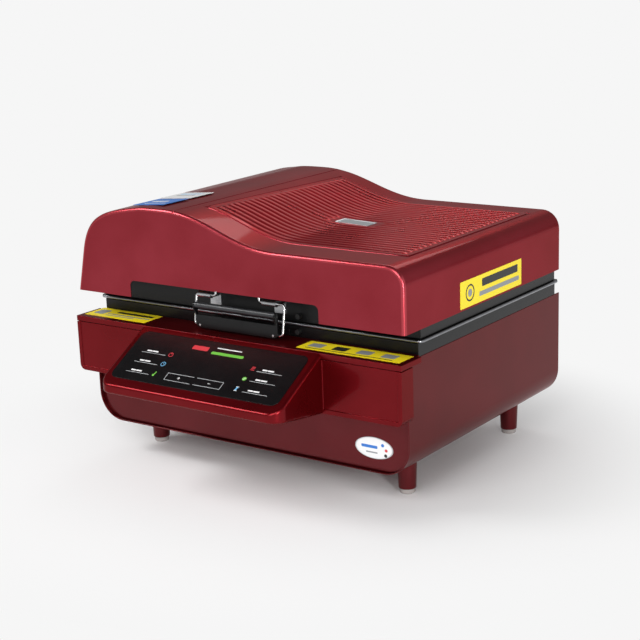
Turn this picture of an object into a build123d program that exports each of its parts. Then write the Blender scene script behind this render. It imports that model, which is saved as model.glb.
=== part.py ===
"""Heated vacuum press: a bench machine with a hinged heater lid over a vacuum box.

Millimetres. +X is the machine's right, -Y its front, +Z up. The pieces are drawn about the
centre of the lid, with the bench at z = 0. At the end everything is moved along Y, so that
the origin is the middle of the machine's footprint on the bench.
"""
from build123d import *
import math
import os

os.makedirs("parts", exist_ok=True)

# Heights, from the bench up.
PAD_HEIGHT = 8.0
LEG_HEIGHT = 48.0
WRAP_HEIGHT = 176.0
RIM_HEIGHT = 20.0
GASKET_THICKNESS = 1.2
SEAL_GAP = 0.3
FRAME_LOWER_THICKNESS = 2.0
MEMBRANE_THICKNESS = 1.0
FRAME_UPPER_THICKNESS = 1.5
HEATER_GAP = 0.5
BAND_REVEAL = 17.5

BODY_BOTTOM_Z = PAD_HEIGHT + LEG_HEIGHT
WRAP_TOP_Z = BODY_BOTTOM_Z + WRAP_HEIGHT
BOX_TOP_Z = WRAP_TOP_Z + RIM_HEIGHT
FRAME_BOTTOM_Z = BOX_TOP_Z + GASKET_THICKNESS + SEAL_GAP
MEMBRANE_BOTTOM_Z = FRAME_BOTTOM_Z + FRAME_LOWER_THICKNESS
MEMBRANE_TOP_Z = MEMBRANE_BOTTOM_Z + MEMBRANE_THICKNESS
FRAME_TOP_Z = MEMBRANE_TOP_Z + FRAME_UPPER_THICKNESS
HEATER_BOTTOM_Z = FRAME_TOP_Z + HEATER_GAP
LID_BOTTOM_Z = HEATER_BOTTOM_Z + BAND_REVEAL

# General clearances.
FIT_GAP = 0.5
RUNNING_GAP = 0.05
SIDE_GAP = 0.3

# Lid cover: an S-shaped section drawn along the machine's depth.
LID_WIDTH = 620.0
LID_DEPTH = 477.0
LID_WALL = 2.0
CREST_RISE = 145.0
VALLEY_RISE = 97.0
CREST_X = -125.0
VALLEY_X = 89.0
SHOULDER_INSET = 15.0
SHOULDER_RISE = 67.0
BROW_INSET = 47.0
BROW_DROP = 25.0
CROWN_INSET = 124.0
CROWN_DROP = 3.0
CREST_SKEW = 28.0
CREST_FALL = 4.5
BROW_SKEW = 14.0
LID_CORNER_RADIUS = 30.0
LID_EDGE_RADIUS = 4.0
CUTOUT_LEFT_X = -197.0
CUTOUT_RIGHT_X = 164.0
CUTOUT_RISE = 27.0
CUTOUT_RADIUS = 9.0

# Ribbed panel on the lid and the plate in its middle.
PANEL_LEFT_X = -86.0
PANEL_RIGHT_X = 276.0
PANEL_FRONT_Y = -172.0
PANEL_REAR_Y = 192.0
PANEL_THICKNESS = 0.8
RIB_HEIGHT = 1.0
RIB_WIDTH = 6.0
RIB_PITCH = 13.5
RIB_END_MARGIN = 9.0
PLATE_X = 72.0
PLATE_Y = 0.0
PLATE_LENGTH = 62.0
PLATE_WIDTH = 30.0
PLATE_BED_MARGIN = 9.0

# Base: a bent wrap with flat panels at its two ends.
WRAP_WIDTH = 600.0
WRAP_FRONT_Y = -217.0
WRAP_REAR_Y = 256.0
WRAP_CORNER_RADIUS = 45.0
SHEET = 2.0
FRONT_PANEL_RECESS = 6.0
FRONT_PANEL_RISE = 140.0
REAR_PANEL_RECESS = 8.0

# Front fascia with its lipped ledge.
FASCIA_OVERHANG = 9.0
FASCIA_WIDTH = WRAP_WIDTH + 2 * FASCIA_OVERHANG
FASCIA_FRONT_Y = -248.6
FASCIA_BOTTOM_Z = 145.0
FASCIA_WALL = 2.5
FASCIA_CORNER_RADIUS = 10.0
FASCIA_SEAM = 0.4
BACK_OPENING_INSET = 12.0
CABLE_OPENING_INSET = 30.0
LEDGE_FOOT_INSET = 50.0
POCKET_DEPTH = 1.2
POCKET_BORDER = 7.0
LEDGE_THICKNESS = 3.5
LIP_HEIGHT = 8.5
LIP_GROOVE = 1.0
LIP_RETURN = 54.0

# Control console on the fascia.
CONSOLE_X = 3.0
CONSOLE_WIDTH = 340.0
CONSOLE_REACH = 110.0
CONSOLE_SLOPE_DEG = 30.0
CONSOLE_UNDER_RISE = 12.5
CONSOLE_CORNER_RADIUS = 22.0
CONSOLE_EDGE_RADIUS = 5.0
CONSOLE_WALL = 2.5
FILM_WIDTH = 316.0
FILM_LENGTH = 101.0
FILM_THICKNESS = 0.8
FILM_TOP_MARGIN = 9.0
FILM_CORNER_RADIUS = 12.0
BOARD_WIDTH = 280.0
BOARD_LENGTH = 70.0
BOARD_THICKNESS = 1.6
BOARD_STANDOFF = 8.0

# Vacuum box: a deep tub in a wide rim.
BOX_FRONT_Y = -188.0
BOX_REAR_Y = 240.0
BOX_WALL = 2.5
TUB_LENGTH = 470.0
TUB_WIDTH = 330.0
TUB_DEPTH = 85.0
TUB_CORNER_RADIUS = 18.0
GASKET_WIDTH = 12.0
BED_THICKNESS = 2.0
BED_RISE = 15.0
BED_HOLE_RADIUS = 6.0
BED_PITCH = 40.0

# Membrane frame.
FRAME_OVERHANG_SIDE = 6.5
FRAME_OVERHANG_FRONT = 3.0
FRAME_BORDER = 30.0
FRAME_SCREW_RADIUS = 2.5
FRAME_SCREW_GAP = 0.1

# Heater box in the lid.
HEATER_SIDE_GAP = 5.0
HEATER_FRONT_Y = -186.0
HEATER_REAR_Y = 232.0
HEATER_STEP_RISE = 29.5
HEATER_UPPER_INSET = 23.0
HEATER_UPPER_RISE = 52.0
HEATER_WALL = 2.0
INSULATION_THICKNESS = 20.0
REFLECTOR_THICKNESS = 1.0
GUARD_RISE = 15.0
GUARD_THICKNESS = 1.5
TUBE_COUNT = 6
TUBE_RADIUS = 5.0
TUBE_RISE = 27.0
TUBE_LENGTH = 500.0
TUBE_PITCH = 55.0

# Hinges at the rear. One axis serves the lid and the membrane frame.
HINGE_Y = 250.0
HINGE_Z = 262.0
HINGE_PIN_RADIUS = 4.0
KNUCKLE_RADIUS = 7.5
KNUCKLE_WIDTH = 30.0
EAR_THICKNESS = 5.0
LEAF_THICKNESS = 3.0
LID_HINGE_X = 205.0
FRAME_HINGE_X = 120.0
FRAME_KNUCKLE_WIDTH = 18.0

# Wire bail and grip handle.
BAIL_PIVOT_Y = -212.0
BAIL_PIVOT_Z = 289.0
BAIL_FOOT_Y = -219.0
BAIL_FOOT_Z = 243.0
BAIL_HALF_WIDTH = 84.0
WIRE_RADIUS = 2.0
WIRE_BEND_RADIUS = 4.5
BARREL_RADIUS = 5.0
BARREL_LENGTH = 25.0
BARREL_LEFT_X = -66.5
BARREL_RIGHT_X = 57.5
WIRE_END_RISE = 9.0
HANDLE_HALF_WIDTH = 78.0
HANDLE_EAR = 2.5
HANDLE_PLATE_THICKNESS = 2.5
HANDLE_PLATE_BOTTOM_Z = 239.0
HANDLE_PLATE_TOP_Z = 259.0
HANDLE_PLATE_FRONT = 5.0
HANDLE_CORNER_RADIUS = 8.0
GRIP_RADIUS = 4.5
GRIP_Y = -226.0
GRIP_Z = 274.5
RIVET_RADIUS = 1.8
CATCH_GAP = 1.4
CATCH_ARM_WIDTH = 7.0
CATCH_THICKNESS = 2.5

# Legs.
LEG_TOP_RADIUS = 15.5
LEG_BOTTOM_RADIUS = 13.5
PAD_RADIUS = 12.0
LEG_INSET = 56.0
LEG_X = WRAP_WIDTH / 2 - LEG_INSET
LEG_FRONT_Y = -135.5
LEG_REAR_Y = 185.0

# Rear cooling fan.
FAN_INSET = 130.0
FAN_X = -WRAP_WIDTH / 2 + FAN_INSET
FAN_SIZE = 120.0
FAN_DEPTH = 25.0
FAN_BORE_RADIUS = 56.0
FAN_TIP_GAP = 2.0
FAN_HUB_RADIUS = 20.0
FAN_FLOOR_GAP = 8.0
GUARD_WIRE_RADIUS = 1.0

# Mains inlet and rocker switch in the rear panel.
INLET_INSET = 100.0
INLET_X = WRAP_WIDTH / 2 - INLET_INSET
INLET_Z = 105.0
INLET_WIDTH = 28.0
INLET_HEIGHT = 20.0
INLET_DEPTH = 24.0
SWITCH_INSET = 160.0
SWITCH_X = WRAP_WIDTH / 2 - SWITCH_INSET
SWITCH_WIDTH = 22.0
SWITCH_HEIGHT = 30.0
ROCKER_TILT_DEG = 8.0

# Power board and transformer on the base's floor.
POWER_BOARD_INSET = 125.0
POWER_BOARD_Y = -70.0
POWER_BOARD_LENGTH = 140.0
POWER_BOARD_WIDTH = 90.0
POWER_BOARD_RISE = 10.0
TRANSFORMER_INSET = 135.0
TRANSFORMER_Y = 150.0
TRANSFORMER_HEIGHT = 56.0

# Vacuum pump.
PUMP_X = -95.0
PUMP_Y = 90.0
PUMP_AXIS_RISE = 49.0
PUMP_MOTOR_RADIUS = 36.0
PUMP_MOTOR_LENGTH = 110.0
PUMP_HEAD_LENGTH = 60.0
PUMP_HEAD_WIDTH = 70.0
PUMP_HEAD_HEIGHT = 78.0
PUMP_SHAFT_RADIUS = 4.0
PUMP_MOUNT_HEIGHT = 7.0
PUMP_BASE_THICKNESS = 4.0
HOSE_RADIUS = 5.0
HOSE_BEND_RADIUS = 30.0
VALVE_X = 105.0
VALVE_SIZE = 36.0
VALVE_HEIGHT = 18.0

nodes = {}


def save(name, shape):
    """Keep one named piece until the export at the end."""
    nodes[name] = shape


def block(x, y, z):
    """Box between three pairs of limits."""
    size = [pair[1] - pair[0] for pair in (x, y, z)]
    middle = [(pair[0] + pair[1]) / 2 for pair in (x, y, z)]
    return Pos(*middle) * Box(*size)


def rod(axis, centre, radius, length):
    """Cylinder centred on a point, along one of the three axes."""
    turns = {"X": (0, 90, 0), "Y": (90, 0, 0), "Z": (0, 0, 0)}
    return Pos(*centre) * Rot(*turns[axis]) * Cylinder(radius, length)


def rounded_block(x, y, z, radius):
    """Box between limits, with its four upright edges rounded."""
    solid = block(x, y, z)
    return fillet(solid.edges().filter_by(Axis.Z), radius)


def group(solids):
    """Several separate solids in one node."""
    return Compound(list(solids))


def side_extrude(face, x_low, x_high):
    """Extrude a face drawn in the YZ plane between two X limits."""
    return Pos(x_low, 0, 0) * extrude(face, amount=x_high - x_low, dir=(1, 0, 0))


def yz_face(points):
    """Flat face in the YZ plane through (y, z) corner points."""
    return make_face(Polyline([(0, y, z) for y, z in points], close=True))


def depth_extrude(face, y_low, y_high):
    """Extrude a face drawn in the XZ plane between two Y limits."""
    return Pos(0, y_low, 0) * extrude(face, amount=y_high - y_low, dir=(0, 1, 0))


# Lid cover.
LID_HALF = LID_WIDTH / 2
LID_FRONT_Y = -LID_DEPTH / 2
LID_REAR_Y = LID_DEPTH / 2
CREST_Z = LID_BOTTOM_Z + CREST_RISE
VALLEY_Z = LID_BOTTOM_Z + VALLEY_RISE


def inward(edge, share, inset):
    """Point on an edge of the section, moved square to it towards the inside."""
    along = edge % share
    return (edge @ share) + Vector(along.Z, 0, -along.X) * inset


def moved_line(edge, inset):
    return Line(inward(edge, 0, inset), inward(edge, 1, inset))


def moved_spline(edge, inset, spans):
    points = [inward(edge, index / spans, inset) for index in range(spans + 1)]
    return Spline(*points, tangents=[edge % 0, edge % 1])


def lid_outline(inset, lean):
    """Closed S-shaped section of the lid in the XZ plane, moved inwards by an inset.

    The lean is 0 at the lid's front and 1 at its rear, where the crest is further left
    and a little lower.
    """
    skew = CREST_SKEW * lean
    crest_z = CREST_Z - CREST_FALL * lean
    shoulder = (-LID_HALF + SHOULDER_INSET, 0, LID_BOTTOM_Z + SHOULDER_RISE)
    brow = (-LID_HALF + BROW_INSET - BROW_SKEW * lean, 0, CREST_Z - BROW_DROP)
    crown = (-LID_HALF + CROWN_INSET - skew, 0, crest_z - CROWN_DROP)
    crest = (CREST_X - skew, 0, crest_z)
    valley = (VALLEY_X - skew, 0, VALLEY_Z)
    corner_start = (LID_HALF - LID_CORNER_RADIUS, 0, VALLEY_Z - inset)
    corner_end = (LID_HALF - inset, 0, VALLEY_Z - LID_CORNER_RADIUS)
    low_right = (LID_HALF - inset, 0, LID_BOTTOM_Z)
    level = (1, 0, 0)
    side = Line((-LID_HALF, 0, LID_BOTTOM_Z), shoulder)
    hump = Spline(shoulder, brow, crown, crest, tangents=[side % 1, level])
    fall = Spline(crest, valley, tangents=[level, level])
    side = moved_line(side, inset)
    edges = [
        side,
        moved_spline(hump, inset, 8),
        moved_spline(fall, inset, 6),
        Line(inward(fall, 1, inset), corner_start),
        TangentArc(corner_start, corner_end, tangent=level),
        Line(corner_end, low_right),
        Line(low_right, side @ 0),
    ]
    return make_face(Wire(edges))


def lid_prism(inset, y_low, y_high):
    """The lid's body between two Y limits, its section moved inwards by an inset."""
    front = Pos(0, LID_FRONT_Y, 0) * lid_outline(inset, 0)
    rear = Pos(0, LID_REAR_Y, 0) * lid_outline(inset, 1)
    body = loft([front, rear], ruled=True)
    if y_low <= LID_FRONT_Y and y_high >= LID_REAR_Y:
        return body
    reach = LID_WIDTH
    return body & block((-reach, reach), (y_low, y_high), (0, 2 * CREST_Z))


def lid_inner_space():
    """The space under the lid cover's skin, open at the bottom."""
    upper = lid_prism(LID_WALL, LID_FRONT_Y + LID_WALL, LID_REAR_Y - LID_WALL)
    lower = block(
        (-LID_HALF + 2 * LID_WALL, LID_HALF - LID_WALL),
        (LID_FRONT_Y + LID_WALL, LID_REAR_Y - LID_WALL),
        (LID_BOTTOM_Z - LID_WALL, LID_BOTTOM_Z + 2 * LID_WALL),
    )
    return upper + lower


def make_lid_cover():
    outer = lid_prism(0, LID_FRONT_Y, LID_REAR_Y)
    rims = outer.faces().sort_by(Axis.Y)[0].edges() + outer.faces().sort_by(Axis.Y)[-1].edges()
    low_edge = LID_BOTTOM_Z + 1
    rims = [edge for edge in rims if edge.center().Z > low_edge]
    outer = fillet(rims, LID_EDGE_RADIUS)
    cover = outer - lid_inner_space()
    opening = rounded_cutout(LID_FRONT_Y - 1, LID_FRONT_Y + 3 * LID_WALL)
    return cover - opening


def rounded_cutout(y_low, y_high):
    """Opening in the lid's front wall that leaves room for the latch."""
    width = CUTOUT_RIGHT_X - CUTOUT_LEFT_X
    height = CUTOUT_RISE + CUTOUT_RADIUS * 2
    sketch = RectangleRounded(width, height, CUTOUT_RADIUS)
    middle_x = (CUTOUT_LEFT_X + CUTOUT_RIGHT_X) / 2
    middle_z = LID_BOTTOM_Z + CUTOUT_RISE - height / 2
    face = Pos(middle_x, 0, middle_z) * Rot(90, 0, 0) * sketch
    return depth_extrude(face.faces()[0], y_low, y_high)


def panel_region(margin, z_margin):
    """Upright block over the ribbed panel's outline, grown by a margin."""
    return block(
        (PANEL_LEFT_X - margin, PANEL_RIGHT_X + margin),
        (PANEL_FRONT_Y - margin, PANEL_REAR_Y + margin),
        (VALLEY_Z - z_margin, CREST_Z + z_margin),
    )


def make_ribbed_panel():
    """Thin formed panel with raised ribs, lying on the lid's top."""
    skin_top = lid_prism(-PANEL_THICKNESS, PANEL_FRONT_Y, PANEL_REAR_Y)
    rib_top = lid_prism(-PANEL_THICKNESS - RIB_HEIGHT, PANEL_FRONT_Y, PANEL_REAR_Y)
    lid_body = lid_prism(0, PANEL_FRONT_Y, PANEL_REAR_Y)
    skin = (skin_top - lid_body) & panel_region(0, LID_WALL * 3)
    ridge = (rib_top - lid_body) & panel_region(-RIB_END_MARGIN, LID_WALL * 3)
    usable = PANEL_REAR_Y - PANEL_FRONT_Y - 2 * RIB_END_MARGIN
    count = int((usable - RIB_WIDTH) // RIB_PITCH) + 1
    first = (PANEL_FRONT_Y + PANEL_REAR_Y - (count - 1) * RIB_PITCH) / 2
    strips = []
    for index in range(count):
        middle = first + index * RIB_PITCH
        strip = block(
            (PANEL_LEFT_X, PANEL_RIGHT_X),
            (middle - RIB_WIDTH / 2, middle + RIB_WIDTH / 2),
            (VALLEY_Z - LID_WALL, CREST_Z + 3 * LID_WALL),
        )
        strips.append(strip)
    bare = block(
        (PLATE_X - PLATE_LENGTH / 2 - PLATE_BED_MARGIN, PLATE_X + PLATE_LENGTH / 2 + PLATE_BED_MARGIN),
        (PLATE_Y - PLATE_WIDTH / 2 - PLATE_BED_MARGIN, PLATE_Y + PLATE_WIDTH / 2 + PLATE_BED_MARGIN),
        (VALLEY_Z - LID_WALL, CREST_Z + LID_WALL),
    )
    ribs = (ridge & Compound(children=strips)) - bare
    return skin + ribs


def make_plain_plate():
    """Small plate set in the bare patch of the ribbed panel, following its surface."""
    seat = lid_prism(-PANEL_THICKNESS, PANEL_FRONT_Y, PANEL_REAR_Y)
    top = lid_prism(-PANEL_THICKNESS - RIB_HEIGHT, PANEL_FRONT_Y, PANEL_REAR_Y)
    outline = block(
        (PLATE_X - PLATE_LENGTH / 2, PLATE_X + PLATE_LENGTH / 2),
        (PLATE_Y - PLATE_WIDTH / 2, PLATE_Y + PLATE_WIDTH / 2),
        (VALLEY_Z - LID_WALL, CREST_Z + LID_WALL),
    )
    return (top - seat) & outline


# Heater box and what it holds.
HEATER_HALF = LID_HALF - LID_WALL - HEATER_SIDE_GAP
HEATER_STEP_Z = HEATER_BOTTOM_Z + HEATER_STEP_RISE
HEATER_UPPER_HALF = HEATER_HALF - HEATER_UPPER_INSET
HEATER_TOP_Z = HEATER_STEP_Z + HEATER_UPPER_RISE
HEATER_UPPER_FRONT_Y = HEATER_FRONT_Y + HEATER_UPPER_INSET
HEATER_UPPER_REAR_Y = HEATER_REAR_Y - HEATER_UPPER_INSET
GUARD_Z = HEATER_BOTTOM_Z + GUARD_RISE
TUBE_Z = HEATER_BOTTOM_Z + TUBE_RISE
REFLECTOR_Z = HEATER_TOP_Z - HEATER_WALL - INSULATION_THICKNESS - REFLECTOR_THICKNESS
TUB_MIDDLE_Y = (BOX_FRONT_Y + BOX_REAR_Y) / 2
MOTOR_INSET = 170.0
MOTOR_X = -LID_HALF + MOTOR_INSET
MOTOR_RADIUS = 24.0
MOTOR_HEIGHT = 38.0
MOTOR_SHAFT_RADIUS = 3.0
IMPELLER_RADIUS = 55.0
IMPELLER_DROP = 6.0
IMPELLER_HEIGHT = 12.0


def make_heater_box():
    lower = block(
        (-HEATER_HALF, HEATER_HALF), (HEATER_FRONT_Y, HEATER_REAR_Y), (HEATER_BOTTOM_Z, HEATER_STEP_Z)
    )
    upper = block(
        (-HEATER_UPPER_HALF, HEATER_UPPER_HALF),
        (HEATER_UPPER_FRONT_Y, HEATER_UPPER_REAR_Y),
        (HEATER_STEP_Z, HEATER_TOP_Z),
    )
    wall = HEATER_WALL
    lower_space = block(
        (-HEATER_HALF + wall, HEATER_HALF - wall),
        (HEATER_FRONT_Y + wall, HEATER_REAR_Y - wall),
        (HEATER_BOTTOM_Z - wall, HEATER_STEP_Z - wall),
    )
    upper_space = block(
        (-HEATER_UPPER_HALF + wall, HEATER_UPPER_HALF - wall),
        (HEATER_UPPER_FRONT_Y + wall, HEATER_UPPER_REAR_Y - wall),
        (HEATER_STEP_Z - 2 * wall, HEATER_TOP_Z - wall),
    )
    shaft_hole = rod("Z", (MOTOR_X, TUB_MIDDLE_Y, HEATER_TOP_Z), MOTOR_SHAFT_RADIUS + 2, 4 * wall)
    return lower + upper - lower_space - upper_space - shaft_hole


def heater_layer(z_low, z_high, gap):
    """Flat layer across the heater box's upper part, with a hole for the fan shaft."""
    wall = HEATER_WALL + gap
    layer = block(
        (-HEATER_UPPER_HALF + wall, HEATER_UPPER_HALF - wall),
        (HEATER_UPPER_FRONT_Y + wall, HEATER_UPPER_REAR_Y - wall),
        (z_low, z_high),
    )
    middle = (MOTOR_X, TUB_MIDDLE_Y, (z_low + z_high) / 2)
    hole = rod("Z", middle, MOTOR_SHAFT_RADIUS + 2, z_high - z_low + 2)
    return layer - hole


def make_guard():
    """Perforated guard under the heating tubes, resting on small side angles."""
    wall = HEATER_WALL + FIT_GAP
    plate = block(
        (-HEATER_HALF + wall, HEATER_HALF - wall),
        (HEATER_FRONT_Y + wall, HEATER_REAR_Y - wall),
        (GUARD_Z, GUARD_Z + GUARD_THICKNESS),
    )
    slot_length = 60.0
    slot_width = 14.0
    slots = GridLocations(slot_length + 12, slot_width + 10, 7, 13)
    cut = [
        Pos(0, TUB_MIDDLE_Y, GUARD_Z) * place * Box(slot_length, slot_width, GUARD_THICKNESS * 4)
        for place in slots
    ]
    return plate - cut


def make_guard_angles():
    """Four short angles riveted inside the heater box that carry the guard."""
    angles = []
    leg = 12.0
    inner = HEATER_HALF - HEATER_WALL
    top = GUARD_Z
    for side in (-1, 1):
        for y in (HEATER_FRONT_Y + 60, HEATER_REAR_Y - 60):
            x_pair = sorted((side * inner, side * (inner - leg)))
            shelf = block(x_pair, (y - leg, y + leg), (top - SHEET, top))
            x_pair = sorted((side * inner, side * (inner - SHEET)))
            web = block(x_pair, (y - leg, y + leg), (top - leg, top))
            angles.append(shelf + web)
    return group(angles)


def tube_places():
    """Y positions of the heating tubes."""
    first = TUB_MIDDLE_Y - (TUBE_COUNT - 1) * TUBE_PITCH / 2
    return [first + index * TUBE_PITCH for index in range(TUBE_COUNT)]


def make_heating_tubes():
    return group(rod("X", (0, y, TUBE_Z), TUBE_RADIUS, TUBE_LENGTH) for y in tube_places())


def make_tube_holders():
    """Ceramic blocks that hold both ends of each tube and hang from the reflector."""
    holders = []
    for y in tube_places():
        for side in (-1, 1):
            x = side * (TUBE_LENGTH / 2 - 12)
            body = block((x - 6, x + 6), (y - 11, y + 11), (TUBE_Z - 9, REFLECTOR_Z))
            bore = rod("X", (x, y, TUBE_Z), TUBE_RADIUS, 20)
            holders.append(body - bore)
    return group(holders)


def make_fan_motor():
    """Circulation fan motor on top of the heater box, under the lid's crest."""
    body = rod("Z", (MOTOR_X, TUB_MIDDLE_Y, HEATER_TOP_Z + MOTOR_HEIGHT / 2), MOTOR_RADIUS, MOTOR_HEIGHT)
    flange = block(
        (MOTOR_X - 32, MOTOR_X + 32),
        (TUB_MIDDLE_Y - 14, TUB_MIDDLE_Y + 14),
        (HEATER_TOP_Z, HEATER_TOP_Z + SHEET),
    )
    bore = rod("Z", (MOTOR_X, TUB_MIDDLE_Y, HEATER_TOP_Z), MOTOR_SHAFT_RADIUS + RUNNING_GAP, MOTOR_HEIGHT)
    return body + flange - bore


def make_circulation_rotor():
    """Shaft and impeller that stir the hot air above the tubes."""
    top = REFLECTOR_Z - IMPELLER_DROP
    bottom = top - IMPELLER_HEIGHT
    shaft_top = HEATER_TOP_Z + MOTOR_HEIGHT / 2 - 2
    centre_z = (bottom + shaft_top) / 2
    shaft = rod("Z", (MOTOR_X, TUB_MIDDLE_Y, centre_z), MOTOR_SHAFT_RADIUS, shaft_top - bottom)
    hub = rod("Z", (MOTOR_X, TUB_MIDDLE_Y, (top + bottom) / 2), 12, IMPELLER_HEIGHT)
    backplate = rod("Z", (MOTOR_X, TUB_MIDDLE_Y, top - 1), IMPELLER_RADIUS, 2)
    wheel = shaft + hub + backplate
    reach = IMPELLER_RADIUS - 10
    for index in range(8):
        blade = Pos(10 + reach / 2, 0, 0) * Box(reach, 2, IMPELLER_HEIGHT - 1)
        wheel += Pos(MOTOR_X, TUB_MIDDLE_Y, (top + bottom) / 2 + 0.5) * Rot(0, 0, index * 45) * blade
    return wheel


def make_cover_posts():
    """Four posts that carry the lid cover on the heater box."""
    space = lid_inner_space()
    posts = []
    for x in (CREST_X - 60, LID_HALF - 2 * LID_CORNER_RADIUS - 20):
        for y in (TUB_MIDDLE_Y - 130, TUB_MIDDLE_Y + 130):
            tall = rod("Z", (x, y, (HEATER_TOP_Z + CREST_Z) / 2), 7, CREST_Z - HEATER_TOP_Z)
            posts.append((tall & space).solids()[0])
    return group(posts)


def make_thermocouple():
    """Probe that reaches through the heater box's top into the air space."""
    x = 150.0
    stem_bottom = REFLECTOR_Z - 12
    return rod("Z", (x, TUB_MIDDLE_Y + 30, (stem_bottom + REFLECTOR_Z) / 2), 2.5, REFLECTOR_Z - stem_bottom)


# Membrane frame.
BOX_RIM_HALF = WRAP_WIDTH / 2
FRAME_HALF = BOX_RIM_HALF + FRAME_OVERHANG_SIDE
FRAME_FRONT_Y = BOX_FRONT_Y - FRAME_OVERHANG_FRONT
FRAME_REAR_Y = BOX_REAR_Y
FRAME_WINDOW_X = TUB_LENGTH / 2 + FRAME_BORDER / 3
FRAME_WINDOW_Y = TUB_WIDTH / 2 + FRAME_BORDER / 3


def window(grow, z_low, z_high):
    """Rounded opening over the tub's mouth, grown on each side."""
    return rounded_block(
        (-TUB_LENGTH / 2 - grow, TUB_LENGTH / 2 + grow),
        (TUB_MIDDLE_Y - TUB_WIDTH / 2 - grow, TUB_MIDDLE_Y + TUB_WIDTH / 2 + grow),
        (z_low, z_high),
        TUB_CORNER_RADIUS,
    )


def frame_screw_places():
    """Middles of the clamp screws around the membrane frame."""
    x_row = FRAME_WINDOW_X + FRAME_BORDER / 2
    y_reach = FRAME_WINDOW_Y + 6
    places = []
    for x in (-200, -67, 67, 200):
        places.append((x, TUB_MIDDLE_Y - y_reach - 6))
        places.append((x, TUB_MIDDLE_Y + y_reach + 6))
    for y in (-110, 0, 110):
        places.append((-x_row, TUB_MIDDLE_Y + y))
        places.append((x_row, TUB_MIDDLE_Y + y))
    return places


def frame_screws(radius, z_low, z_high):
    """Screws, or the holes for them, through the membrane frame."""
    height = z_high - z_low
    middle = (z_low + z_high) / 2
    return [rod("Z", (x, y, middle), radius, height) for x, y in frame_screw_places()]


def frame_layer(z_low, z_high):
    """One of the two clamp frames, full size, with its window and screw holes."""
    plate = rounded_block((-FRAME_HALF, FRAME_HALF), (FRAME_FRONT_Y, FRAME_REAR_Y), (z_low, z_high), 6)
    holes = frame_screws(FRAME_SCREW_RADIUS + FRAME_SCREW_GAP, z_low - 1, z_high + 1)
    return plate - window(FRAME_BORDER / 3, z_low - 1, z_high + 1) - holes


def hinge_knuckle(x, width):
    """Barrel of a hinge on the rear axis, bored for its pin."""
    barrel = rod("X", (x, HINGE_Y, HINGE_Z), KNUCKLE_RADIUS, width)
    bore = rod("X", (x, HINGE_Y, HINGE_Z), HINGE_PIN_RADIUS + RUNNING_GAP, width + 2)
    return barrel, bore


def make_frame_lower():
    frame = frame_layer(FRAME_BOTTOM_Z, MEMBRANE_BOTTOM_Z)
    for x in (-FRAME_HINGE_X, FRAME_HINGE_X):
        barrel, bore = hinge_knuckle(x, FRAME_KNUCKLE_WIDTH)
        half = FRAME_KNUCKLE_WIDTH / 2
        width = (x - half, x + half)
        web = block(width, (FRAME_REAR_Y - 4, HINGE_Y), (FRAME_BOTTOM_Z, MEMBRANE_BOTTOM_Z + 1))
        seat = block(width, (FRAME_REAR_Y - 8, FRAME_REAR_Y), (MEMBRANE_BOTTOM_Z, MEMBRANE_BOTTOM_Z + 2))
        frame = frame + (web + barrel - seat) - bore
    return frame


def make_membrane():
    margin = FRAME_BORDER
    sheet = rounded_block(
        (-TUB_LENGTH / 2 - margin, TUB_LENGTH / 2 + margin),
        (TUB_MIDDLE_Y - TUB_WIDTH / 2 - margin, TUB_MIDDLE_Y + TUB_WIDTH / 2 + margin),
        (MEMBRANE_BOTTOM_Z, MEMBRANE_TOP_Z),
        TUB_CORNER_RADIUS,
    )
    holes = frame_screws(FRAME_SCREW_RADIUS + FRAME_SCREW_GAP, MEMBRANE_BOTTOM_Z - 1, MEMBRANE_TOP_Z + 1)
    return sheet - holes


def make_frame_upper():
    """Upper clamp frame, with a step that closes down on the lower one outside the sheet."""
    plate = frame_layer(MEMBRANE_TOP_Z, FRAME_TOP_Z)
    margin = FRAME_BORDER + FIT_GAP
    ring = rounded_block(
        (-FRAME_HALF, FRAME_HALF), (FRAME_FRONT_Y, FRAME_REAR_Y), (MEMBRANE_BOTTOM_Z, MEMBRANE_TOP_Z), 6
    )
    return plate + (ring - window(margin, MEMBRANE_BOTTOM_Z - 1, MEMBRANE_TOP_Z + 1))


# Hinges.
def hinge_ear(x_low, x_high):
    """One upright ear of a base bracket, bored to grip the hinge pin."""
    middle = (x_low + x_high) / 2
    width = x_high - x_low
    head = rod("X", (middle, HINGE_Y, HINGE_Z), KNUCKLE_RADIUS, width)
    neck = block(
        (x_low, x_high), (HINGE_Y - KNUCKLE_RADIUS, HINGE_Y + KNUCKLE_RADIUS), (BOX_TOP_Z - 4, HINGE_Z)
    )
    root = block(
        (x_low, x_high), (BOX_REAR_Y, HINGE_Y + KNUCKLE_RADIUS), (WRAP_TOP_Z + 2, BOX_TOP_Z - 2)
    )
    bore = rod("X", (middle, HINGE_Y, HINGE_Z), HINGE_PIN_RADIUS, width + 2)
    return head + neck + root - bore


def hinge_bracket(x, knuckle_width):
    """Base bracket with two ears either side of a knuckle."""
    near = knuckle_width / 2 + SIDE_GAP
    far = near + EAR_THICKNESS
    plate = block(
        (x - far - 8, x + far + 8),
        (BOX_REAR_Y, BOX_REAR_Y + LEAF_THICKNESS),
        (WRAP_TOP_Z + 2, BOX_TOP_Z - 2),
    )
    return plate + hinge_ear(x - far, x - near) + hinge_ear(x + near, x + far)


def hinge_places():
    """X position and knuckle width of each hinge."""
    return [
        (-LID_HINGE_X, KNUCKLE_WIDTH),
        (LID_HINGE_X, KNUCKLE_WIDTH),
        (-FRAME_HINGE_X, FRAME_KNUCKLE_WIDTH),
        (FRAME_HINGE_X, FRAME_KNUCKLE_WIDTH),
    ]


def make_hinge_brackets():
    return group(hinge_bracket(x, width) for x, width in hinge_places())


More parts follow.
